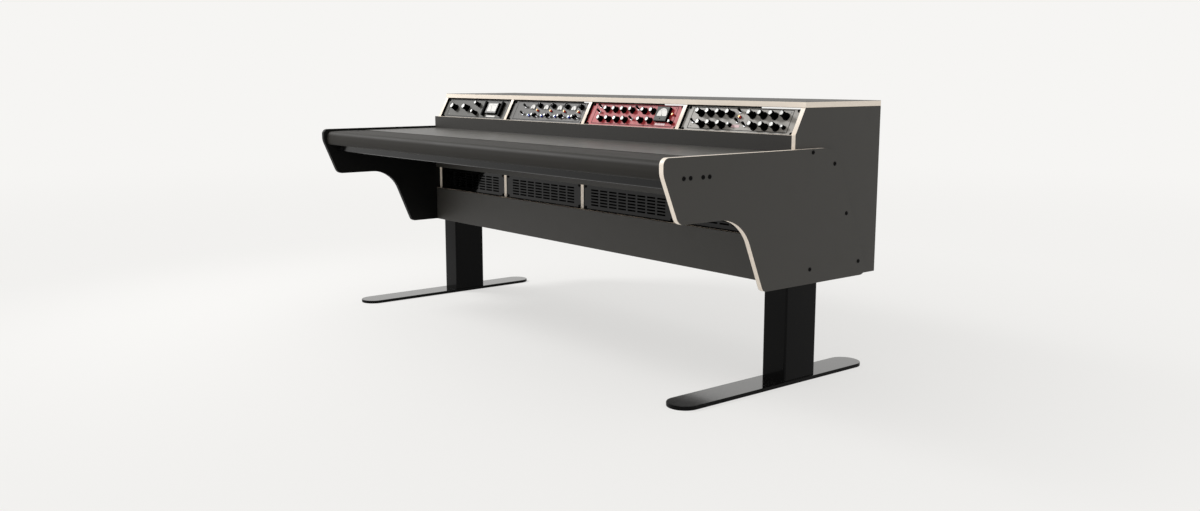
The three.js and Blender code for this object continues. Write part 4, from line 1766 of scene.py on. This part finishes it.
@dataclass
class Studio:
    """The camera, the pale floor and the soft light."""

    lens_mm: float = 32.53
    sensor_mm: float = 36.0
    azimuth: float = 50.97
    pitch: float = 9.37
    camera_place: Size = (3.1407, -2.3921, 0.9366)
    backdrop: str = "#f6f5f3"
    floor_colour: str = "#f2f1ef"
    floor_reach: float = 60.0
    floor_albedo: str = "#e6e5e3"
    floor_glow: float = 0.7
    glow_fade: Point = (1.0, 2.8)
    tone_fade: Point = (3.0, 9.0)
    sky_strength: float = 0.75
    key_place: Size = (-3.5, -2.1, 3.55)
    key_target: Size = (0.1, 0.0, 0.8)
    key_side: float = 1.3
    key_watts: float = 190.0

    def camera(self) -> None:
        """The camera at the photograph's viewing angle."""
        data = bpy.data.cameras.new("view")
        data.sensor_width = self.sensor_mm
        data.lens = self.lens_mm
        camera = bpy.data.objects.new("view", data)
        camera.location = self.camera_place
        camera.rotation_euler = (radians(90 - self.pitch), 0, radians(self.azimuth))
        bpy.context.scene.collection.objects.link(camera)
        bpy.context.scene.camera = camera

    def seen_rays(self, tree: Tree) -> Socket:
        """Finds the rays that draw a surface: from the camera, off gloss and through glass.

        Args:
            tree: the nodes of a material or the world.

        Returns:
            One for those rays and zero for the others.
        """
        rays = add_node(tree, "ShaderNodeLightPath", {}, {}).outputs
        direct = {0: rays["Is Camera Ray"], 1: rays["Is Glossy Ray"]}
        seen = add_node(tree, "ShaderNodeMath", {"operation": "ADD"}, direct)
        through = {0: seen.outputs[0], 1: rays["Is Transmission Ray"]}
        clamped = {"operation": "ADD", "use_clamp": True}
        return add_node(tree, "ShaderNodeMath", clamped, through).outputs[0]

    def fade(self, tree: Tree, reach: Socket, limits: Point, start: float) -> Socket:
        """A smooth rise from a start value to one between two distances.

        Args:
            tree: the material's nodes.
            reach: the distance from the desk.
            limits: the two distances, in metres.
            start: the value up to the first distance.

        Returns:
            The risen value.
        """
        near, far = limits
        inputs = {"Value": reach, "From Min": near, "From Max": far, "To Min": start, "To Max": 1.0}
        ranged = add_node(tree, "ShaderNodeMapRange", {"interpolation_type": "SMOOTHSTEP"}, inputs)
        return ranged.outputs["Result"]

    def floor_material(self) -> bpy.types.Material:
        """Matt pale paint that keeps a light shadow and runs out into the backdrop's colour.

        Returns:
            The material.
        """
        material = bpy.data.materials.new("matt_floor")
        material.use_nodes = True
        tree = material.node_tree
        shader = tree.nodes["Principled BSDF"]
        shader.inputs["Base Color"].default_value = linear(self.floor_albedo)
        shader.inputs["Roughness"].default_value = 1.0
        shader.inputs["Specular IOR Level"].default_value = 0.0
        place = add_node(tree, "ShaderNodeTexCoord", {}, {}).outputs["Object"]
        reach = add_node(tree, "ShaderNodeVectorMath", {"operation": "LENGTH"}, {0: place}).outputs["Value"]
        far = self.fade(tree, reach, self.tone_fade, 0.0)
        tones = {0: far, MIX_A: linear(self.floor_colour), MIX_B: linear(self.backdrop)}
        colour = add_node(tree, "ShaderNodeMix", MIX, tones).outputs[MIX_RESULT]
        glow = add_node(tree, "ShaderNodeEmission", {}, {"Color": colour, "Strength": 1.0})
        shares = {0: self.fade(tree, reach, self.glow_fade, self.floor_glow), 1: self.seen_rays(tree)}
        share = add_node(tree, "ShaderNodeMath", {"operation": "MULTIPLY"}, shares)
        parts = {0: share.outputs[0], 1: shader.outputs["BSDF"], 2: glow.outputs["Emission"]}
        mixed = add_node(tree, "ShaderNodeMixShader", {}, parts)
        tree.links.new(mixed.outputs["Shader"], tree.nodes["Material Output"].inputs["Surface"])
        return material

    def floor(self) -> None:
        """A plain matt floor."""
        bm = bmesh.new()
        bmesh.ops.create_grid(bm, x_segments=1, y_segments=1, size=self.floor_reach)
        mesh = bpy.data.meshes.new("floor")
        bm.to_mesh(mesh)
        bm.free()
        mesh.materials.append(self.floor_material())
        floor = bpy.data.objects.new("floor", mesh)
        bpy.context.scene.collection.objects.link(floor)

    def sky(self) -> None:
        """An even white sky, which the camera and the gloss see as the backdrop's colour."""
        world = bpy.data.worlds.new("studio_sky")
        world.use_nodes = True
        tree = world.node_tree
        tree.nodes.clear()
        white = {"Color": (1.0, 1.0, 1.0, 1.0), "Strength": self.sky_strength}
        light = add_node(tree, "ShaderNodeBackground", {}, white)
        drawn = add_node(tree, "ShaderNodeBackground", {}, {"Color": linear(self.backdrop), "Strength": 1.0})
        parts = {0: self.seen_rays(tree), 1: light.outputs[0], 2: drawn.outputs[0]}
        mixed = add_node(tree, "ShaderNodeMixShader", {}, parts)
        add_node(tree, "ShaderNodeOutputWorld", {}, {"Surface": mixed.outputs[0]})
        bpy.context.scene.world = world

    def key_light(self) -> None:
        """A large soft lamp to the left of the desk."""
        data = bpy.data.lights.new("key_softbox", "AREA")
        data.shape = "SQUARE"
        data.size = self.key_side
        data.energy = self.key_watts
        lamp = bpy.data.objects.new("key_softbox", data)
        place, target = Vector(self.key_place), Vector(self.key_target)
        lamp.location = place
        lamp.rotation_euler = (target - place).to_track_quat("-Z", "Y").to_euler()
        bpy.context.scene.collection.objects.link(lamp)

    def build(self) -> None:
        """Sets up the studio."""
        bpy.context.scene.view_settings.view_transform = "Standard"
        self.camera()
        self.floor()
        self.sky()
        self.key_light()


def write_sizes() -> None:
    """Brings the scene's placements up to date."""
    bpy.context.view_layer.update()


def main() -> None:
    """Builds the studio and then the desk, piece by piece."""
    logging.basicConfig(level=logging.INFO, format="%(name)s: %(message)s")
    Studio().build()
    Timber().build()
    Hardware().build()
    Armrest().build()
    Fasteners().build()
    for unit in (GraphiteUnit(), SlateUnit(), RedUnit(), PaleUnit()):
        unit.build()
    HandControl().build()
    write_sizes()


if __name__ == "__main__":
    main()
